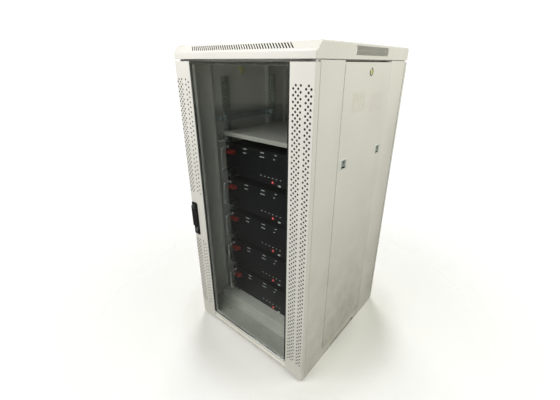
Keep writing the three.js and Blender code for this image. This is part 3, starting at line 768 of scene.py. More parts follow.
def glowing(name, base, strength):
    """A piece with light of its own: its own colour, patchy, and an emission of that colour. The power
    button's lens is a lit lamp; on the modules' pale windows, rocker switch and blank plates the
    emission is a painted glow.
    """
    material = coated(name, base, 0.3, bump=0.02, dust_and_shade=0.0, scuff=0.0)
    shader = material.node_tree.nodes["Principled BSDF"]
    shader.inputs["Emission Color"].default_value = (*base, 1)
    shader.inputs["Emission Strength"].default_value = strength
    return material


def smoked_glass(name, tint):
    """A tinted pane that lets lamps through: clear to shadow rays, glass to all the others."""
    material, tree, shader = bare_material(name)
    grain = place_group(tree, "fine_grain", Grains_per_metre=40.0, Patches_per_metre=5.0)
    tone = mix_colours(tree, grain.outputs["Patches"], scaled(tint, 0.97), scaled(tint, 1.03))
    tree.links.new(tone, shader.inputs["Base Color"])
    smear = range_of(tree, grain.outputs["Patches"], 0.0, 0.005)
    tree.links.new(smear, shader.inputs["Roughness"])
    shader.inputs["Transmission Weight"].default_value = 1
    shader.inputs["IOR"].default_value = 1.45
    shader.inputs["Specular IOR Level"].default_value = 0.12
    clear = tree.nodes.new("ShaderNodeBsdfTransparent")
    clear.inputs["Color"].default_value = (*(math.sqrt(part) for part in tint), 1)
    mix = tree.nodes.new("ShaderNodeMixShader")
    rays = tree.nodes.new("ShaderNodeLightPath")
    tree.links.new(rays.outputs["Is Shadow Ray"], mix.inputs[0])
    tree.links.new(shader.outputs[0], mix.inputs[1])
    tree.links.new(clear.outputs[0], mix.inputs[2])
    tree.links.new(mix.outputs[0], tree.nodes["Material Output"].inputs["Surface"])
    return material


def finish(name):
    """A finish that the materials operator has made."""
    return bpy.data.materials[name]


class CABINET_OT_materials(bpy.types.Operator):
    """Make the shared node groups and every finish"""

    bl_idname = "cabinet.materials"
    bl_label = "Materials"

    def execute(self, context):
        scene = context.scene
        paint, module, door = scene.cabinet_paint, scene.cabinet_module, scene.cabinet_door
        grain_group()
        dust_and_shade_group()
        scuff_group()
        enclosure = tuple(paint.enclosure)
        # Enclosure coats and their darkening towards the floor, strongest on the panels' coat and weakest on the
        # door's. A little of it is dirt; the rest is painted shade. Their inner skins get painted shade as well.
        for name, dust_and_shade in (("powder_coat", 0.9), ("door_coat", 0.5), ("panel_coat", 1.3)):
            coated(
                name, enclosure, paint.roughness, 1400, 0.06,
                dust_and_shade=dust_and_shade, coat=0.15, reach=0.9, painted_inner_shade=0.05,
            )
        add_tape_marks(finish("panel_coat"), enclosure)
        coated("shelf_coat", tuple(paint.shelf), 0.38, 1400, 0.05, coat=0.1)
        coated("zinc_plate", tuple(paint.zinc), 0.42, 260, 0.08, metallic=0.15, spread=0.14, scuff=0.3)
        coated("module_coat", tuple(module.case), 0.5, 1100, 0.3, spread=0.2, dust_and_shade=0.05, scuff=0.05)
        coated("module_panel", scaled(module.case, 1.2), 0.42, 1500, 0.2, spread=0.2, dust_and_shade=0.05)
        coated("chrome", (0.78, 0.79, 0.81), 0.12, 300, 0.01, metallic=1, spread=0.04, dust_and_shade=0.1)
        # Pull-handle chrome, half of it a diffuse near-white: painted sheen in place of the bright reflections of
        # chrome.
        coated("bright_bar", (0.86, 0.86, 0.87), 0.22, 300, 0.01, metallic=0.5, spread=0.04, dust_and_shade=0.1)
        coated("dark_metal", (0.24, 0.25, 0.26), 0.35, 500, 0.05, metallic=0.9)
        coated("latch_coat", (0.7, 0.74, 0.73), 0.35, 900, 0.04)
        # A darker copy of the latch coat for the slide: painted shade of the recess it sits in.
        coated("latch_slider", (0.3, 0.33, 0.31), 0.4, 900, 0.04)
        coated("black_plastic", (0.012, 0.012, 0.014), 0.34, 1200, 0.12, spread=0.15, scuff=0.04)
        coated("rubber", tuple(door.gasket), 0.75, 800, 0.2, spread=0.15, dust_and_shade=0.1)
        # Near-black cloth for the sheets behind the stiles' holes: painted shade.
        coated("filter_cloth", (0.012, 0.012, 0.013), 0.95, 500, 0.6, spread=0.3, dust_and_shade=0.05)
        coated("red_plastic", tuple(module.terminal), 0.32, 900, 0.05, spread=0.1, dust_and_shade=0.0)
        coated("red_button", tuple(module.button), 0.3, 900, 0.03, spread=0.08, dust_and_shade=0.0)
        coated("lock_brass", (0.78, 0.74, 0.36), 0.4, 700, 0.05, metallic=0.2, dust_and_shade=0.0)
        # A painted glow on the pale windows, rocker switch and blank plates; the power button's lens is a real lamp.
        glowing("indicator", tuple(module.indicator), 0.25)
        glowing("red_glow", (1.0, 0.22, 0.26), 1.5)
        smoked_glass("smoked_glass", tuple(door.glass_tint))
        return {"FINISHED"}


# ---- frame --------------------------------------------------------------------------------------


def sided(side, line, normals):
    """A line drawn for the right side, turned over in x for the left."""
    turn = np.array([side, 1.0])
    return line * turn, normals * turn


def plane_line(pairs):
    """Points from (x, depth) pairs in millimetres."""
    return [(x * MM, depth(d)) for x, d in pairs]


# Folded sections as (x, depth) pairs in millimetres, drawn for the right side.
POST_SECTIONS = {
    "front": [(268.75, 36), (268.75, 21.75), (299.25, 21.75), (299.25, 147.25), (280, 147.25)],
    "rear": [(280, 478.75), (299.25, 478.75), (299.25, 612.25), (268.75, 612.25), (268.75, 598)],
}
BRACE_SECTION = [(287, 149.3), (251.3, 149.3), (251.3, 476.7), (287, 476.7)]
# Thick folded pieces inside the cabinet: the sheet and the radius at its middle.
BRACKET_SHEET, BRACKET_BEND = 2 * MM, 2.5 * MM


class CABINET_OT_frame(bpy.types.Operator):
    """Build the base, top ring, corner posts, braces and floor crossbars"""

    bl_idname = "cabinet.frame"
    bl_label = "Frame"

    def execute(self, context):
        settings = context.scene.cabinet_sheet
        for node in ("base_frame", "top_frame"):
            soften(node, finish("powder_coat"), "frame_paint", settings.edge_radius * 1.5)
        for side_name, side in SIDES:
            for place in ("front", "rear"):
                self.post(settings, side_name, side, place)
            for level in ("lower", "upper"):
                self.brace(side_name, side, level)
        for place in ("front", "rear"):
            self.crossbar(place)
        return {"FINISHED"}

    def post(self, settings, side_name, side, place):
        """A folded line carried up the height of the CAD post."""
        node = f"{place}_post_{side_name}"
        low, high = corners_of(node)
        section = plane_line(POST_SECTIONS[place])
        line, normals = sided(side, *folded(section, settings.bend_radius * 1.6))
        shape = sheet(*upright(line, normals, [low[2], high[2]]), settings.thickness)
        put(node + "_sheet", shape, finish("powder_coat"), "cabinet", "frame_paint", [node])

    def brace(self, side_name, side, level):
        """A folded bracket with a row of round holes along its web."""
        node = f"{level}_brace_{side_name}"
        low, high = corners_of(node)
        pitch, cell, count = 25 * MM, 13 * MM, 12
        centres = pitch * np.arange(1, count + 1)
        edges = np.column_stack([centres - cell / 2, centres + cell / 2]).ravel()
        line, normals = folded(plane_line(BRACE_SECTION), BRACKET_BEND, {1: edges})
        line, normals = sided(side, line, normals)
        middle = (low[2] + high[2]) / 2
        grid, across = upright(line, normals, [low[2], middle - cell / 2, middle + cell / 2, high[2]])
        widths = np.linalg.norm(np.diff(line, axis=0), axis=1)
        holes = np.zeros((len(widths), 3), int)
        holes[np.isclose(widths, cell), 1] = 1
        shape = sheet(grid, across, BRACKET_SHEET, holes, [round_hole(4.2 * MM)])
        put(node + "_sheet", shape, finish("zinc_plate"), "cabinet", "zinc_plate", [node])

    def crossbar(self, place):
        """A stepped line carried across the floor: foot, riser, flat top and a short back."""
        node = f"floor_crossbar_{place}"
        low, high = corners_of(node)
        half, foot_depth, lip = BRACKET_SHEET / 2, 24 * MM, 20 * MM
        foot, top = low[2] + half, high[2] - half
        riser, back = low[1] + foot_depth, high[1] - half
        corners = [(low[1], foot), (riser, foot), (riser, top), (back, top), (back, high[2] - lip)]
        line, normals = folded(corners, BRACKET_BEND)
        shape = sheet(*crosswise(line, normals, np.linspace(low[0], high[0], 2)), BRACKET_SHEET)
        put(node + "_sheet", shape, finish("door_coat"), "cabinet", "frame_paint", [node])


# ---- roof ---------------------------------------------------------------------------------------


class CABINET_OT_roof(bpy.types.Operator):
    """Build the roof with its slotted front slope and side vents"""

    bl_idname = "cabinet.roof"
    bl_label = "Roof"

    def execute(self, context):
        low, high = corners_of("top_cover")
        half, corner = 0.7 * MM, 3 * MM
        lip, slope, chamfer, bend = 20 * MM, 20 * MM, 6 * MM, 8 * MM
        outer = [
            (low[1], low[2]),
            (low[1], low[2] + lip),
            (low[1] + slope, high[2]),
            (high[1] - chamfer, high[2]),
            (high[1], high[2] - chamfer),
            (high[1], low[2]),
        ]
        line, normals = folded(inset(outer, half), bend, {1: [4.5 * MM, 25.5 * MM]})
        # The first point, the five of the first bend, and then the slots' lower edge.
        band = 6
        end_line = self.wrap(line, normals, band, high[0] - half - corner, corner, 2 * half)
        plates = [self.side(end_line, side * (high[0] - half), low[2], 2 * half) for _, side in SIDES]
        put("roof_sides", join(plates), finish("powder_coat"), "cabinet", "frame_paint")
        return {"FINISHED"}

    def wrap(self, line, normals, band, ends, corner, thick):
        """The front, the slope, the top and the back: one line in y and z carried across, turned down
        by a quarter circle at each end. Slanted slots run along the slope: there the stations move
        sideways from the band's lower edge to its upper edge. Returns the line at the right end."""
        pitch, first, count, lean = 10.2 * MM, -207 * MM, 42, 21 * MM
        inner = first + pitch * np.arange(count + 1)
        grid, across = crosswise(line, normals, np.concatenate([[-ends], inner, [ends]]))
        grid[: band + 1, 1:-1, 0] += lean / 2
        grid[band + 1 :, 1:-1, 0] -= lean / 2
        grid, across = self.turn_ends(grid, across, corner)
        holes = np.zeros((grid.shape[0] - 1, grid.shape[1] - 1), int)
        holes[band, 4:-4] = 1
        slot = square_hole(2) * (13.2 * MM, 2.3 * MM)
        # The roof's inner skin is marked for painted shade, which darkens what shows through the slots.
        shape = sheet(grid, across, thick, holes, [slot], shaded_skin=1)
        put("roof_top", shape, finish("powder_coat"), "cabinet", "frame_paint", ["top_cover"])
        return grid[:, -1, 1:]

    def turn_ends(self, grid, normals, radius):
        """Adds three stations at each end: each is the end line moved outwards by the sine and along
        its normals by the cosine of a growing angle, so that the sheet bends by a quarter circle."""
        parts, part_normals = [grid], [normals]
        for angle in np.radians((30, 60, 90)):
            for end, sign in ((0, -1), (-1, 1)):
                shift = sign * math.sin(angle) * X
                moved = grid[:, end] + radius * (shift - normals[:, end] * (1 - math.cos(angle)))
                facing = normals[:, end] * math.cos(angle) + shift
                where = 0 if sign < 0 else len(parts)
                parts.insert(where, moved[:, None])
                part_normals.insert(where, facing[:, None])
        return np.concatenate(parts, axis=1), np.concatenate(part_normals, axis=1)

    def side(self, end_line, x, bottom, thick):
        """A flat side plate up to the wrap's end line, with two rows of slots as a herringbone: where
        the rows meet, the stations between the slots move back by the lean."""
        pitch, first, count, lean = 5.4 * MM, depth(204), 42, 4.5 * MM
        top_line = end_line[1:-1]
        vents = first + pitch * np.arange(count + 1)
        us = np.sort(np.concatenate([top_line[:, 0], vents]))
        tops = np.interp(us, top_line[:, 0], top_line[:, 1])
        shares = np.array([0, 0.28, 0.6, 0.92, 1])
        grid = np.zeros((len(us), len(shares), 3))
        grid[..., 0], grid[..., 1] = x, us[:, None]
        grid[..., 2] = bottom + (tops - bottom)[:, None] * shares
        grid[np.isin(us, vents), 2, 1] += lean
        holes = np.zeros((len(us) - 1, len(shares) - 1), int)
        holes[np.isclose(np.diff(us), pitch), 1:3] = 1
        normals = np.broadcast_to(X * np.sign(x), grid.shape)
        # The side plate's inner skin is marked for painted shade, which darkens what shows through the vents.
        return sheet(grid, normals, thick, holes, [slanted_slot(3.6 * MM, 13 * MM, 0)], shaded_skin=1)


# ---- rack ---------------------------------------------------------------------------------------


class CABINET_OT_rack(bpy.types.Operator):
    """Build the mounting rails with their square holes, and the shelf"""

    bl_idname = "cabinet.rack"
    bl_label = "Rails and shelf"

    def execute(self, context):
        rack = context.scene.cabinet_rack
        for side_name, side in SIDES:
            for place in ("front", "rear"):
                self.rail(rack, side_name, side, place)
        soften("equipment_shelf", finish("shelf_coat"), "shelf_paint", 0.9 * MM, 3)
        return {"FINISHED"}

    def rail(self, rack, side_name, side, place):
        """A folded angle with three square holes for each rack unit, and one round hole in its web."""
        node = f"{place}_rail_{side_name}"
        low, high = corners_of(node)
        thick, bend, cell = 2 * MM, 2.2 * MM, 12 * MM
        near, far = sorted(abs(np.array([low[0], high[0]])))
        face, web = low[1] + thick / 2, far - thick / 2
        corners = [(near, face), (web, face), (web, high[1])]
        centres = (RACK_HOLE_X - near, 24 * MM)
        stops = {leg: [centre - cell / 2, centre + cell / 2] for leg, centre in enumerate(centres)}
        line, normals = sided(side, *folded(corners, bend, stops))
        third = rack.unit_height / 3
        start = (low[2] + high[2] - rack.unit_count * rack.unit_height) / 2
        edges = start + third * np.arange(3 * rack.unit_count + 1)
        grid, across = upright(line, normals, np.concatenate([[low[2]], edges, [high[2]]]))
        widths = np.linalg.norm(np.diff(line, axis=0), axis=1)
        banded = np.flatnonzero(np.isclose(widths, cell))
        holes = np.zeros((len(widths), len(edges) + 1), int)
        holes[banded[0], 1:-1] = 1
        holes[banded[1], 2:-1:3] = 2
        outlines = [square_hole(rack.square_hole), round_hole(4 * MM)]
        shape = sheet(grid, across, thick, holes, outlines)
        put(node + "_sheet", shape, finish("zinc_plate"), "cabinet", "zinc_plate", [node])


# ---- front door ---------------------------------------------------------------------------------


# Each stile's columns of holes: x in millimetres, and 1 for a column on the odd rows.
STILE_COLUMNS = {
    "left": [(-293.3, 1), (-285.3, 0), (-277.3, 1), (-269.3, 0), (-247, 0), (-232.5, 1)],
    "right": [(231, 1), (239.2, 0), (247.4, 1), (255.6, 0), (272.6, 1), (280.8, 0), (289, 1)],
}
# The rows of holes, counted down from the height of the first one. The left ones leave a gap for
# the handle.
STILE_ROWS = {"left": np.r_[0:52, 78:119], "right": np.arange(120)}
FIRST_ROW = {"left": 1091.5 * MM, "right": 1094 * MM}
# The heights between which a black sheet lies behind the holes, as painted shade.
SHADE_SHEET_SPANS = {
    "left": [(62 * MM, 436 * MM), (642 * MM, 1104 * MM)],
    "right": [(62 * MM, 1104 * MM)],
}
# The opening behind the handle's plate, which its spindle and cam reach through.
HANDLE_OPENING = (466 * MM, 601 * MM)


class CABINET_OT_front_door(bpy.types.Operator):
    """Build the front door: perforated stiles, bottom rail, ledge, glass and gasket"""

    bl_idname = "cabinet.front_door"
    bl_label = "Front door"

    def execute(self, context):
        settings, door = context.scene.cabinet_sheet, context.scene.cabinet_door
        for side_name, side in SIDES:
            self.stile(settings, door, side_name, side)
        for side_name, side in SIDES:
            self.shade_sheet_strips(side_name, side)
        self.rails(settings)
        self.gasket()
        glass = frame["nodes"]["front_door_glass"]
        glass.data.materials.clear()
        glass.data.materials.append(finish("smoked_glass"))
        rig.slot(glass, "door_glass")
        return {"FINISHED"}

    def stile(self, settings, door, side_name, side):
        """A folded stile: the ledge behind the glass, the return, the perforated face and the outer
        wall. The face has a grid of cells, one row for each half pitch. Columns of round holes use
        every second row, and neighbouring columns are staggered."""
        bands, rows, first = STILE_COLUMNS[side_name], STILE_ROWS[side_name], FIRST_ROW[side_name]
        half, thick, pitch = settings.thickness / 2, settings.thickness, door.row_pitch
        near, edge = WINDOW + half, HALF_WIDTH - half
        ledge = WINDOW - 7.5 * MM
        face, back, seat = DOOR_Y + half, DOOR_HIGH[1] - half, depth(SEAT_DEPTH) + half
        centres = np.sort([abs(x) * MM for x, _ in bands])
        cell, least = 8 * MM, 0.5 * MM
        stops = []
        for centre in centres:
            for stop in (centre - cell / 2 - near, centre + cell / 2 - near):
                if not stops or stop - stops[-1] > least:
                    stops.append(stop)
                else:
                    stops[-1] = (stops[-1] + stop) / 2
        corners = [
            (ledge, back), (ledge, seat), (near, seat),
            (near, face), (edge, face), (edge, DOOR_HIGH[1]),
        ]
        line, normals = folded(corners, settings.bend_radius * 0.8, {3: stops})
        edges = first + pitch * (0.5 - np.arange(rows.max() + 2))
        heights = np.concatenate([[DOOR_LOW[2]], edges[::-1], [DOOR_HIGH[2]]])
        line, normals = sided(side, line, normals)
        grid, across = upright(line, normals, heights)
        middles = (line[1:] + line[:-1]) / 2
        holes = np.zeros((len(middles), len(heights) - 1), int)
        missing = np.zeros_like(holes, dtype=bool)
        on_face = np.abs(middles[:, 1] - face) < 0.01 * MM
        centre_of_row = (heights[1:] + heights[:-1]) / 2
        row_index = np.rint((first - centre_of_row) / pitch).astype(int)
        for x, odd in bands:
            column = np.argmin(np.abs(middles[:, 0] - x * MM) + ~on_face)
            holes[column] = np.isin(row_index, rows[rows % 2 == odd])
        holes[:, [0, -1]] = 0
        if side < 0:
            bottom, top = HANDLE_OPENING
            covered = (centre_of_row > bottom) & (centre_of_row < top)
            for x, _ in bands[1:4]:
                column = np.argmin(np.abs(middles[:, 0] - x * MM) + ~on_face)
                missing[column] = covered
        # The stile's inner skin is marked for painted shade, which darkens the inside of the section and the hole
        # walls.
        shape = sheet(grid, across, thick, holes, [round_hole(door.hole_diameter / 2)], missing, shaded_skin=0)
        caps = []
        for inner, height in enumerate((DOOR_LOW[2] + half, DOOR_HIGH[2] - half)):
            caps.append(self.cap(side, near, edge, height, thick, inner))
        nodes = ["front_door_frame"] if side < 0 else []
        name = f"front_door_stile_{side_name}"
        put(name, join([shape] + caps), finish("door_coat"), "front_door", "door_paint", nodes)

    def shade_sheet_strips(self, side_name, side):
        """A black sheet close behind the holes that paints the shade inside the stile: a flat strip for each
        span of heights.
        """
        margin, thick, middle = 3 * MM, 1 * MM, np.array([0, depth(2.3), 0])
        us = side * np.array([GLASS_HIGH[0] + margin, HALF_WIDTH - margin])
        strips = []
        for span in SHADE_SHEET_SPANS[side_name]:
            strips.append(sheet(*flat(middle, "front", us, np.array(span)), thick))
        put(f"stile_filter_{side_name}", join(strips), finish("filter_cloth"), "front_door", "rubber")

    def cap(self, side, near, edge, height, thick, inner):
        """The plate that closes an end of a stile, with a hole for the hinge pin on the right. Its
        lower skin is inside the stile where inner is 1, and its upper skin where it is 0; the skin
        inside gets painted shade."""
        pin_x, pin_y, cell = HALF_WIDTH - 5.5 * MM, depth(11), 4 * MM
        us = np.array([near + thick / 2, pin_x - 4.6 * MM, edge - thick / 2])
        vs = np.array([DOOR_Y + thick, pin_y - cell, pin_y + cell, DOOR_HIGH[1]])
        grid, normals = flat(np.array([0, 0, height]), "top", us * side, vs)
        holes = np.zeros((2, 3), int)
        holes[1, 1] = 1 if side > 0 else 0
        return sheet(grid, normals, thick, holes, [round_hole(3.4 * MM)], shaded_skin=inner)

    def gasket(self):
        """A thin bead round the edge of the pane: a plate with its middle cell left out. Its lower
        side is a third as wide as the others."""
        low, high = corners_of("glass_gasket")
        bead = 8 * MM
        us = np.array([low[0], low[0] + bead, high[0] - bead, high[0]])
        vs = np.array([low[2], low[2] + bead / 3, high[2] - bead, high[2]])
        missing = np.zeros((3, 3), bool)
        missing[1, 1] = True
        middle = np.array([0, (low[1] + high[1]) / 2, 0])
        shape = sheet(*flat(middle, "front", us, vs), high[1] - low[1], missing=missing)
        put("glass_gasket_bead", shape, finish("rubber"), "front_door", "rubber", ["glass_gasket"])

    def rails(self, settings):
        """The bottom rail: the ledge behind the glass, a narrow ridge, a face that slants back below
        it and a lower band, carried from stile to stile; and the ledge behind the top of the glass."""
        thick, half = settings.thickness, settings.thickness / 2
        stations = [-WINDOW, WINDOW]
        seat, ridge, band = depth(SEAT_DEPTH) + half, DOOR_Y + half, depth(1.5) + half
        ledge_top, ridge_top, ridge_bottom, band_top = 51.5 * MM, 47.2 * MM, 41 * MM, 20 * MM
        bottom = DOOR_LOW[2] + half
        corners = [
            (DOOR_HIGH[1] - half, ledge_top), (seat, ledge_top), (seat, ridge_top),
            (ridge, ridge_top), (ridge, ridge_bottom), (depth(3.5), ridge_bottom - 2 * MM),
            (depth(8), band_top + 4 * MM), (band, band_top), (band, bottom), (DOOR_HIGH[1], bottom),
        ]
        line, normals = folded(corners, settings.bend_radius * 0.7)
        rail = sheet(*crosswise(line, normals, stations), thick)
        put("front_door_bottom_rail", rail, finish("door_coat"), "front_door", "door_paint")
        top, under = DOOR_HIGH[2] - half, DOOR_HIGH[2] - 8 * MM
        corners = [(DOOR_HIGH[1], top), (seat, top), (seat, under), (DOOR_HIGH[1], under)]
        line, normals = folded(corners, settings.bend_radius * 0.8)
        ledge = sheet(*crosswise(line, normals, stations), thick)
        put("front_door_top_ledge", ledge, finish("door_coat"), "front_door", "door_paint")


# ---- handle and locks ---------------------------------------------------------------------------


class CABINET_OT_handle(bpy.types.Operator):
    """Build the swing handle's plate, lever, spindle and lock"""

    bl_idname = "cabinet.handle"
    bl_label = "Swing handle"

    def execute(self, context):
        low, high = corners_of("handle_plate")
        middle = (low + high) / 2
        origin = np.array([middle[0], high[1], middle[2]])
        rim = rounded_outline((high[0] - low[0]) / 2, (high[2] - low[2]) / 2, 5 * MM)
        thick = (high[1] - low[1]) / MM
        profile = [
            (0.2, 0), (0, 0.3), (0, thick - 1.6), (0.5, thick - 0.5),
            (1.6, thick), (2.6, thick), (3.4, thick - 1.2),
        ]
        plate = raised(rim, profile, origin, "front")
        black = finish("black_plastic")
        put("handle_plate_body", plate, black, "front_door", "handle_black", ["handle_plate"])
        soften("handle_lever", black, "handle_black", 1.2 * MM, 3)
        soften("handle_spindle", finish("dark_metal"), "zinc_plate", 0.5 * MM)
        soften("handle_key_cylinder", finish("chrome"), "lock_chrome", 0.5 * MM)
        return {"FINISHED"}


class CABINET_OT_side_panels(bpy.types.Operator):
    """Build the side panels with their latches and locks"""

    bl_idname = "cabinet.side_panels"
    bl_label = "Side panels"

    def execute(self, context):
        for side_name, side in SIDES:
            body = f"side_panel_{side_name}"
            # The right panel's coat darkens most towards the floor, as painted shade, and carries the tape marks.
            coat = finish("panel_coat" if side > 0 else "powder_coat")
            soften(body, coat, "panel_paint", 0.9 * MM)
            surface = side * HALF_WIDTH
            for place in ("front", "rear"):
                node = f"panel_latch_{side_name}_{place}"
                # The slide is coloured darker than its bezel, as painted shade of the recess.
                soften(node, finish("latch_slider"), "latch_metal", 0.5 * MM)
                self.bezel(node, body, surface, side_name)
            node = f"panel_lock_{side_name}"
            soften(node, finish("lock_brass"), "lock_chrome", 0.4 * MM)
            self.lock_ring(node, body, surface, side_name)
        return {"FINISHED"}

    def bezel(self, node, body, surface, facing):
        """The latch's surround: a plate that rises 0.9 mm from a sloping rim, with an opening that
        leaves the slide room to move down."""
        low, high = corners_of(node)
        middle = (low + high) / 2
        half_u, half_v, drop, rim = 24 * MM, 15 * MM, 4 * MM, 2 * MM
        gap, travel = 0.2 * MM, 6 * MM
        hole_u = (high[1] - low[1]) / 2 + gap
        top, bottom = high[2] - middle[2] + gap, middle[2] - low[2] + gap + travel
        us = np.array([-half_u, -half_u + rim, -hole_u, hole_u, half_u - rim, half_u])
        vs = np.array([-half_v - drop, -half_v - drop + rim, -bottom, top, half_v - rim, half_v])
        grid, normals = flat(np.array([surface, middle[1], middle[2]]), facing, us, vs)
        raised_lines = np.array([0, 1, 1, 1, 1, 0])
        rise = 0.9 * MM * np.minimum.outer(raised_lines, raised_lines)
        grid = grid + rise[..., None] * normals
        missing = np.zeros((5, 5), bool)
        missing[2, 2] = True
        shape = sheet(grid, normals, 1.0 * MM, missing=missing)
        put(node + "_bezel", shape, finish("latch_coat"), body, "latch_metal")

    def lock_ring(self, node, body, surface, facing):
        """A dark ring round the lock: a raised profile carried round a circle."""
        low, high = corners_of(node)
        centre = np.array([surface, (low[1] + high[1]) / 2, high[2] - 9 * MM])
        p, q, out = FACING[facing]
        angles = np.linspace(0, 2 * math.pi, 49)
        radii = np.array([9.5, 9.8, 11.2, 12.2]) * MM
        heights = np.array([0.3, 0.9, 0.9, 0.2]) * MM
        around = np.multiply.outer(np.cos(angles), p) + np.multiply.outer(np.sin(angles), q)
        grid = centre + radii[:, None] * around[:, None] + heights[:, None] * out
        shape = sheet(grid[:, ::-1], np.broadcast_to(out, grid.shape), 0.6 * MM)
        put(node + "_ring", shape, finish("dark_metal"), body, "lock_chrome")


class CABINET_OT_rear_door(bpy.types.Operator):
    """Build the rear door with its rows of vent slots"""

    bl_idname = "cabinet.rear_door"
    bl_label = "Rear door"

    def execute(self, context):
        settings = context.scene.cabinet_sheet
        low, high = corners_of("rear_door")
        thick, half = settings.thickness, settings.thickness / 2
        x, back = high[0] - half, high[1] - half
        pitch, count, rows, row_pitch, band = 13 * MM, 34, 6, 16 * MM, 90 * MM
        first = x - pitch * count / 2
        stops = first + pitch * np.arange(count + 1)
        corners = [(x, low[1]), (x, back), (-x, back), (-x, low[1])]
        line, normals = folded(corners, settings.bend_radius, {1: stops})
        lower = low[2] + band + row_pitch * np.arange(rows + 1)
        upper = high[2] - band - row_pitch * np.arange(rows, -1, -1)
        heights = np.concatenate([[low[2]], lower, upper, [high[2]]])
        grid, across = upright(line, normals, heights)
        widths = np.linalg.norm(np.diff(line, axis=0), axis=1)
        holes = np.zeros((len(widths), len(heights) - 1), int)
        vents = np.isclose(widths, pitch)
        for start in (1, 2 + rows):
            holes[vents, start : start + rows] = 1
        shapes = [sheet(grid, across, thick, holes, [slanted_slot(8.5 * MM, 3.6 * MM, 2 * MM)])]
        us, vs = np.array([-x + half, x - half]), np.array([low[1], high[1] - thick])
        for height in (low[2] + half, high[2] - half):
            shapes.append(sheet(*flat(np.array([0, 0, height]), "top", us, vs), thick))
        paint = finish("powder_coat")
        put("rear_door_sheet", join(shapes), paint, "rear_door", "door_paint", ["rear_door"])
        soften("rear_key_cylinder", finish("chrome"), "lock_chrome", 0.5 * MM)
        return {"FINISHED"}


# ---- modules ------------------------------------------------------------------------------------


# Profiles of small raised pieces, as insets and heights in millimetres.
COLLAR = [(0, 0), (0, 1.2), (0.6, 1.8), (2.2, 1.8)]
TERMINAL = [(0, 0), (0, 8), (1.2, 9.2), (2.4, 9.2), (2.4, 12), (3, 20), (4, 22), (5.5, 22.5)]
WINDOW_PANE = [(0, -0.2), (0, 0.4), (0.4, 0.7)]
BLANK_PLATE = [(0, -0.2), (0, 0.3), (0.3, 0.5)]
ROCKER = [(0, -0.2), (0, 1.6), (0.7, 2.2)]
SOCKET = [(0, -0.2), (0, 0.9), (0.6, 1.3), (1.4, 1.3), (1.6, 0.2)]
SCREW_HEAD = [(0, 0), (0, 0.9), (0.7, 1.9), (2, 2.5), (2.8, 2.6), (3.0, 1.2)]
LENS = [(0, 0), (0, 0.2), (1.2, 0.7)]
# The blank plates on a faceplate: x, height over its lower edge, and half the width, in millimetres.
# They take the pale coat with a painted glow.
PLATES = (
    (-126, 121, 10), (-32, 122, 9), (36, 123, 5),
    (-128, 104, 9), (-34, 105, 12), (28, 106, 4),
)


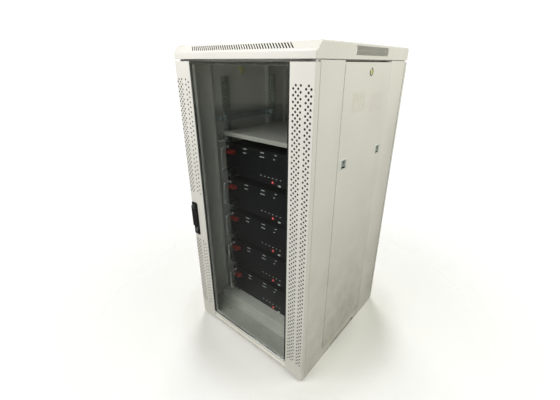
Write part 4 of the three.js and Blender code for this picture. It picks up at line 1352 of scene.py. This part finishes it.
class CABINET_OT_modules(bpy.types.Operator):
    """Build the five battery modules: cases, faceplates, handles, terminals and indicators"""

    bl_idname = "cabinet.modules"
    bl_label = "Battery modules"

    def execute(self, context):
        for number in MODULES:
            name = f"module_{number}"
            soften(name + "_case", finish("module_coat"), "module_case", 1.2 * MM)
            soften(name + "_faceplate", finish("module_panel"), "module_face", 0.5 * MM)
            low, _ = corners_of(name + "_faceplate")
            self.corner = np.array([0, low[1], low[2]])
            for side_name, _ in SIDES:
                self.pull_handle(f"{name}_handle_{side_name}")
            self.terminals(name)
            self.indicators(name)
            self.fasteners(name)
            self.button(name)
        return {"FINISHED"}

    def on_face(self, outline, profile, x, height):
        """A raised piece on the faceplate, at x and a height over its lower edge in millimetres."""
        return raised(outline, profile, self.corner + np.array([x, 0, height]) * MM, "front")

    def pull_handle(self, node):
        """A round bar bent into a D: straight legs, quarter-circle bends and a straight grip."""
        low, high = corners_of(node)
        radius = (high[0] - low[0]) / 2
        x, bend, steps = (low[0] + high[0]) / 2, 9 * MM, 8
        front, root = low[1] + radius, high[1]
        bottom, top = low[2] + radius, high[2] - radius
        angles = np.linspace(0, math.pi / 2, steps)
        sine, cosine = bend * (1 - np.sin(angles)), bend * (1 - np.cos(angles))
        lower = np.column_stack([front + sine, bottom + cosine])
        upper = np.column_stack([front + cosine, top - sine])
        side_view = np.vstack([[(root, bottom)], lower, upper, [(root, top)]])
        path = np.column_stack([np.full(len(side_view), x), side_view])
        foot = circle_outline(radius + 2.4 * MM, 28)
        feet = [raised(foot, COLLAR, np.array([x, root, z]), "front") for z in (bottom, top)]
        shape = join([bar(path, X, radius, 24)] + feet)
        # The bar's coat is partly diffuse near-white, a painted sheen.
        put(node + "_bar", shape, finish("bright_bar"), "cabinet", "handle_chrome", [node])

    def terminals(self, name):
        """Two red terminals side by side near the top left, and two black ones near the bottom."""
        block = rounded_outline(9 * MM, 8 * MM, 3 * MM)
        for label, material, height in (("red", "red_plastic", 97), ("black", "black_plastic", 26)):
            pair = [self.on_face(block, TERMINAL, x, height) for x in (-213, -191)]
            put(f"{name}_terminals_{label}", join(pair), finish(material), "cabinet", "module_face")

    def indicators(self, name):
        """A row of pale indicator windows, a white rocker switch, small blank plates and a row of
        sockets. The windows, the switch and the plates glow with painted light."""
        window = rounded_outline(3.2 * MM, 1.3 * MM, 0.9 * MM)
        lights = [self.on_face(window, WINDOW_PANE, x, 30) for x in np.linspace(-40, 60, 6)]
        lights.append(self.on_face(rounded_outline(6 * MM, 3 * MM, 1 * MM), ROCKER, 55, 6))
        put(f"{name}_indicators", join(lights), finish("indicator"), "cabinet", "module_face")
        plates = []
        for x, height, half_u in PLATES:
            plate = rounded_outline(half_u * MM, 1.7 * MM, 0.8 * MM)
            plates.append(self.on_face(plate, BLANK_PLATE, x, height))
        put(f"{name}_plates", join(plates), finish("indicator"), "cabinet", "module_face")
        port = rounded_outline(7.5 * MM, 6.5 * MM, 1 * MM)
        sockets = [self.on_face(port, SOCKET, x, 30) for x in (110, 132, 154, 176)]
        put(f"{name}_sockets", join(sockets), finish("dark_metal"), "cabinet", "module_face")

    def fasteners(self, name):
        """Round screw heads at the faceplate's four rack holes."""
        head = circle_outline(4.6 * MM, 24)
        heads = []
        for x in (-RACK_HOLE_X / MM, RACK_HOLE_X / MM):
            heads += [self.on_face(head, SCREW_HEAD, x, height) for height in (18, 114)]
        put(f"{name}_screws", join(heads), finish("chrome"), "cabinet", "handle_chrome")

    def button(self, name):
        """The power button: a round cap with a soft edge, and a lit window at its middle."""
        node = f"{name}_power_button"
        low, high = corners_of(node)
        radius = (high[0] - low[0]) / 2
        centre = np.array([(low[0] + high[0]) / 2, high[1], (low[2] + high[2]) / 2])
        reach = (high[1] - low[1]) / MM
        profile = [
            (0, 0), (0, reach - 0.8), (0.3, reach - 0.25),
            (0.9, reach), (2.6, reach), (2.9, reach - 0.4),
        ]
        cap = raised(circle_outline(radius, 36), profile, centre, "front")
        put(node + "_cap", cap, finish("red_button"), node, "button_red", [node])
        sunk = 0.5 * MM
        lens_at = centre - Y * (high[1] - low[1] - sunk)
        lens = raised(circle_outline(2.7 * MM, 24), LENS, lens_at, "front")
        put(node + "_lens", lens, finish("red_glow"), node, "button_red")


# ---- stage --------------------------------------------------------------------------------------


# The camera's place, and its azimuth, elevation and roll in degrees.
CAMERA_PLACE = (0.75488, -0.99941, 1.14795)
CAMERA_ANGLES = (39.516, 23.988, 0.294)
# Each lamp's name, place, target, size, tint, and whether the door's glass mirrors it.
LAMPS = (
    ("key", (-0.6, -1.65, 2.2), (0, 0, 0.7), 1.4, (1.0, 0.99, 0.99), True),
    ("fill", (1.7, -2.7, 0.9), (0, 0, 0.5), 1.2, (1.0, 1.0, 1.0), False),
    ("back", (-2.0, 2.2, 2.2), (0, 0, 0.6), 1.6, (1.0, 1.0, 0.96), True),
    ("side", (1.8, 0.5, 2.3), (0.3, 0, 0.7), 1.4, (1.0, 1.0, 0.93), True),
)
# The floor's fades: from one radius to another, its alpha falls from 1 to the last number.
FLOOR_FADES = ((0.36, 0.6, 0.35), (0.6, 1.8, 0))
SURROUND_TINT = (1.0, 1.0, 0.72, 1)
BACKDROP_STRENGTH = 1.35


def area_light(name, place, target, size, tint, mirrored, power):
    """A square soft light that points at a target. One that isn't mirrored lights the paint and stays
    out of the door's glass."""
    light = bpy.data.lights.new(name, "AREA")
    light.size, light.energy, light.color = size, power, tint
    lamp = bpy.data.objects.new(name, light)
    lamp.location = place
    lamp.rotation_mode = "QUATERNION"
    lamp.rotation_quaternion = (Vector(target) - Vector(place)).to_track_quat("-Z", "Y")
    lamp.visible_glossy = mirrored
    bpy.context.scene.collection.objects.link(lamp)


class CABINET_OT_stage(bpy.types.Operator):
    """Make the camera, the pale floor, the soft lights and the surround"""

    bl_idname = "cabinet.stage"
    bl_label = "Stage"

    def execute(self, context):
        settings = context.scene.cabinet_stage
        self.camera(context.scene, settings)
        self.floor()
        self.surround(context.scene, settings)
        context.scene.view_settings.view_transform = "Standard"
        for name, *rest in LAMPS:
            area_light(name, *rest, getattr(settings, name + "_power"))
        return {"FINISHED"}

    def camera(self, scene, settings):
        """Azimuth, elevation and roll turned into the camera's three directions."""
        azimuth, elevation, roll = (math.radians(angle) for angle in CAMERA_ANGLES)
        ahead = Vector(
            (
                -math.sin(azimuth) * math.cos(elevation),
                math.cos(azimuth) * math.cos(elevation),
                -math.sin(elevation),
            )
        )
        right = ahead.cross(Vector((0, 0, 1))).normalized()
        up = right.cross(ahead)
        turned_right = right * math.cos(roll) + up * math.sin(roll)
        turned_up = up * math.cos(roll) - right * math.sin(roll)
        data = bpy.data.cameras.new("camera")
        data.lens, data.sensor_width, data.clip_start = settings.lens, 36, 0.02
        camera = bpy.data.objects.new("camera", data)
        turned = Matrix((turned_right, turned_up, -ahead)).transposed().to_4x4()
        camera.matrix_world = Matrix.Translation(CAMERA_PLACE) @ turned
        scene.collection.objects.link(camera)
        scene.camera = camera

    def floor(self):
        """A wide disc made of rings of growing radius, dark to glossy rays and fading out."""
        radii, turns = np.array([0.0001, 0.5, 1, 2, 4, 9]), np.linspace(0, 2 * math.pi, 65)
        grid = np.zeros((len(turns), len(radii), 3))
        grid[..., 0] = np.multiply.outer(np.cos(turns), radii)
        grid[..., 1] = np.multiply.outer(np.sin(turns), radii)
        grid[..., 2] = -2 * MM
        points, faces = sheet(grid[:, ::-1], np.broadcast_to(Z, grid.shape), 2 * MM)
        mesh = bpy.data.meshes.new("floor")
        mesh.from_pydata(points.tolist(), [], [face for group in faces for face in group.tolist()])
        material, tree, shader = bare_material("floor_card")
        grain = place_group(tree, "fine_grain", Grains_per_metre=300.0, Patches_per_metre=1.0)
        tone = mix_colours(tree, grain.outputs["Patches"], (0.84, 0.84, 0.83), (0.88, 0.88, 0.87))
        tree.links.new(tone, shader.inputs["Base Color"])
        shader.inputs["Roughness"].default_value = 0.9
        shader.inputs["Specular IOR Level"].default_value = 0.1
        rays, mix = tree.nodes.new("ShaderNodeLightPath"), tree.nodes.new("ShaderNodeMixShader")
        dark = tree.nodes.new("ShaderNodeBsdfDiffuse")
        dark.inputs["Color"].default_value = (0.1, 0.1, 0.1, 1)
        tree.links.new(rays.outputs["Is Glossy Ray"], mix.inputs[0])
        tree.links.new(shader.outputs[0], mix.inputs[1])
        tree.links.new(dark.outputs[0], mix.inputs[2])
        tree.links.new(mix.outputs[0], tree.nodes["Material Output"].inputs["Surface"])
        place = tree.nodes.new("ShaderNodeTexCoord")
        distance = tree.nodes.new("ShaderNodeVectorMath")
        distance.operation = "LENGTH"
        tree.links.new(place.outputs["Object"], distance.inputs[0])
        fades = []
        for near, far, least in FLOOR_FADES:
            fade = tree.nodes.new("ShaderNodeMapRange")
            tree.links.new(distance.outputs["Value"], fade.inputs["Value"])
            fade.inputs["From Min"].default_value, fade.inputs["From Max"].default_value = near, far
            fade.inputs["To Min"].default_value, fade.inputs["To Max"].default_value = 1, least
            fade.interpolation_type = "SMOOTHSTEP"
            fades.append(fade.outputs[0])
        tree.links.new(add_math(tree, "MULTIPLY", *fades), shader.inputs["Alpha"])
        mesh.materials.append(material)
        floor = bpy.data.objects.new("floor", mesh)
        bpy.context.scene.collection.objects.link(floor)
        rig.stage(floor)

    def surround(self, scene, settings):
        """An even surround: white to the camera, softer as light on the object."""
        world = bpy.data.worlds.new("surround")
        world.use_nodes = True
        tree = world.node_tree
        soft = tree.nodes["Background"]
        soft.inputs["Color"].default_value = SURROUND_TINT
        soft.inputs["Strength"].default_value = settings.surround
        white = tree.nodes.new("ShaderNodeBackground")
        white.inputs["Strength"].default_value = BACKDROP_STRENGTH
        rays, mix = tree.nodes.new("ShaderNodeLightPath"), tree.nodes.new("ShaderNodeMixShader")
        tree.links.new(rays.outputs["Is Camera Ray"], mix.inputs[0])
        tree.links.new(soft.outputs[0], mix.inputs[1])
        tree.links.new(white.outputs[0], mix.inputs[2])
        tree.links.new(mix.outputs[0], tree.nodes["World Output"].inputs["Surface"])
        scene.world = world


# ---- add-on -------------------------------------------------------------------------------------

SETTINGS = {
    "cabinet_paint": CabinetPaintSettings,
    "cabinet_sheet": CabinetSheetSettings,
    "cabinet_door": CabinetDoorSettings,
    "cabinet_rack": CabinetRackSettings,
    "cabinet_module": CabinetModuleSettings,
    "cabinet_stage": CabinetStageSettings,
}
OPERATORS = (
    CABINET_OT_materials,
    CABINET_OT_stage,
    CABINET_OT_frame,
    CABINET_OT_roof,
    CABINET_OT_rack,
    CABINET_OT_front_door,
    CABINET_OT_handle,
    CABINET_OT_side_panels,
    CABINET_OT_rear_door,
    CABINET_OT_modules,
)


class CABINET_PT_panel(bpy.types.Panel):
    """Lists the cabinet's steps in the order that they run"""

    bl_idname = "CABINET_PT_panel"
    bl_label = "Battery rack cabinet"
    bl_space_type = "VIEW_3D"
    bl_region_type = "UI"
    bl_category = "Cabinet"

    def draw(self, context):
        for operator in OPERATORS:
            self.layout.operator(operator.bl_idname)
        for name, group in SETTINGS.items():
            box = self.layout.box()
            for label in group.__annotations__:
                box.prop(getattr(context.scene, name), label)


def register():
    """Adds the settings, the operators and the panel."""
    for name, group in SETTINGS.items():
        bpy.utils.register_class(group)
        setattr(bpy.types.Scene, name, bpy.props.PointerProperty(type=group))
    for operator in OPERATORS:
        bpy.utils.register_class(operator)
    bpy.utils.register_class(CABINET_PT_panel)


def unregister():
    """Takes them all away again."""
    bpy.utils.unregister_class(CABINET_PT_panel)
    for operator in reversed(OPERATORS):
        bpy.utils.unregister_class(operator)
    for name, group in SETTINGS.items():
        delattr(bpy.types.Scene, name)
        bpy.utils.unregister_class(group)


def main():
    """Runs every operator in order, and writes the model's box before and after."""
    register()
    bpy.ops.cabinet.materials()
    bpy.ops.cabinet.stage()
    bpy.ops.cabinet.frame()
    bpy.ops.cabinet.roof()
    bpy.ops.cabinet.rack()
    bpy.ops.cabinet.front_door()
    bpy.ops.cabinet.handle()
    bpy.ops.cabinet.side_panels()
    bpy.ops.cabinet.rear_door()
    bpy.ops.cabinet.modules()
    boxes = {"cad": CAD_BOX, "visual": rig.bounds()}
    with open("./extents.json", "w") as file:
        json.dump({name: [list(corner) for corner in box] for name, box in boxes.items()}, file)


if __name__ == "__main__":
    main()
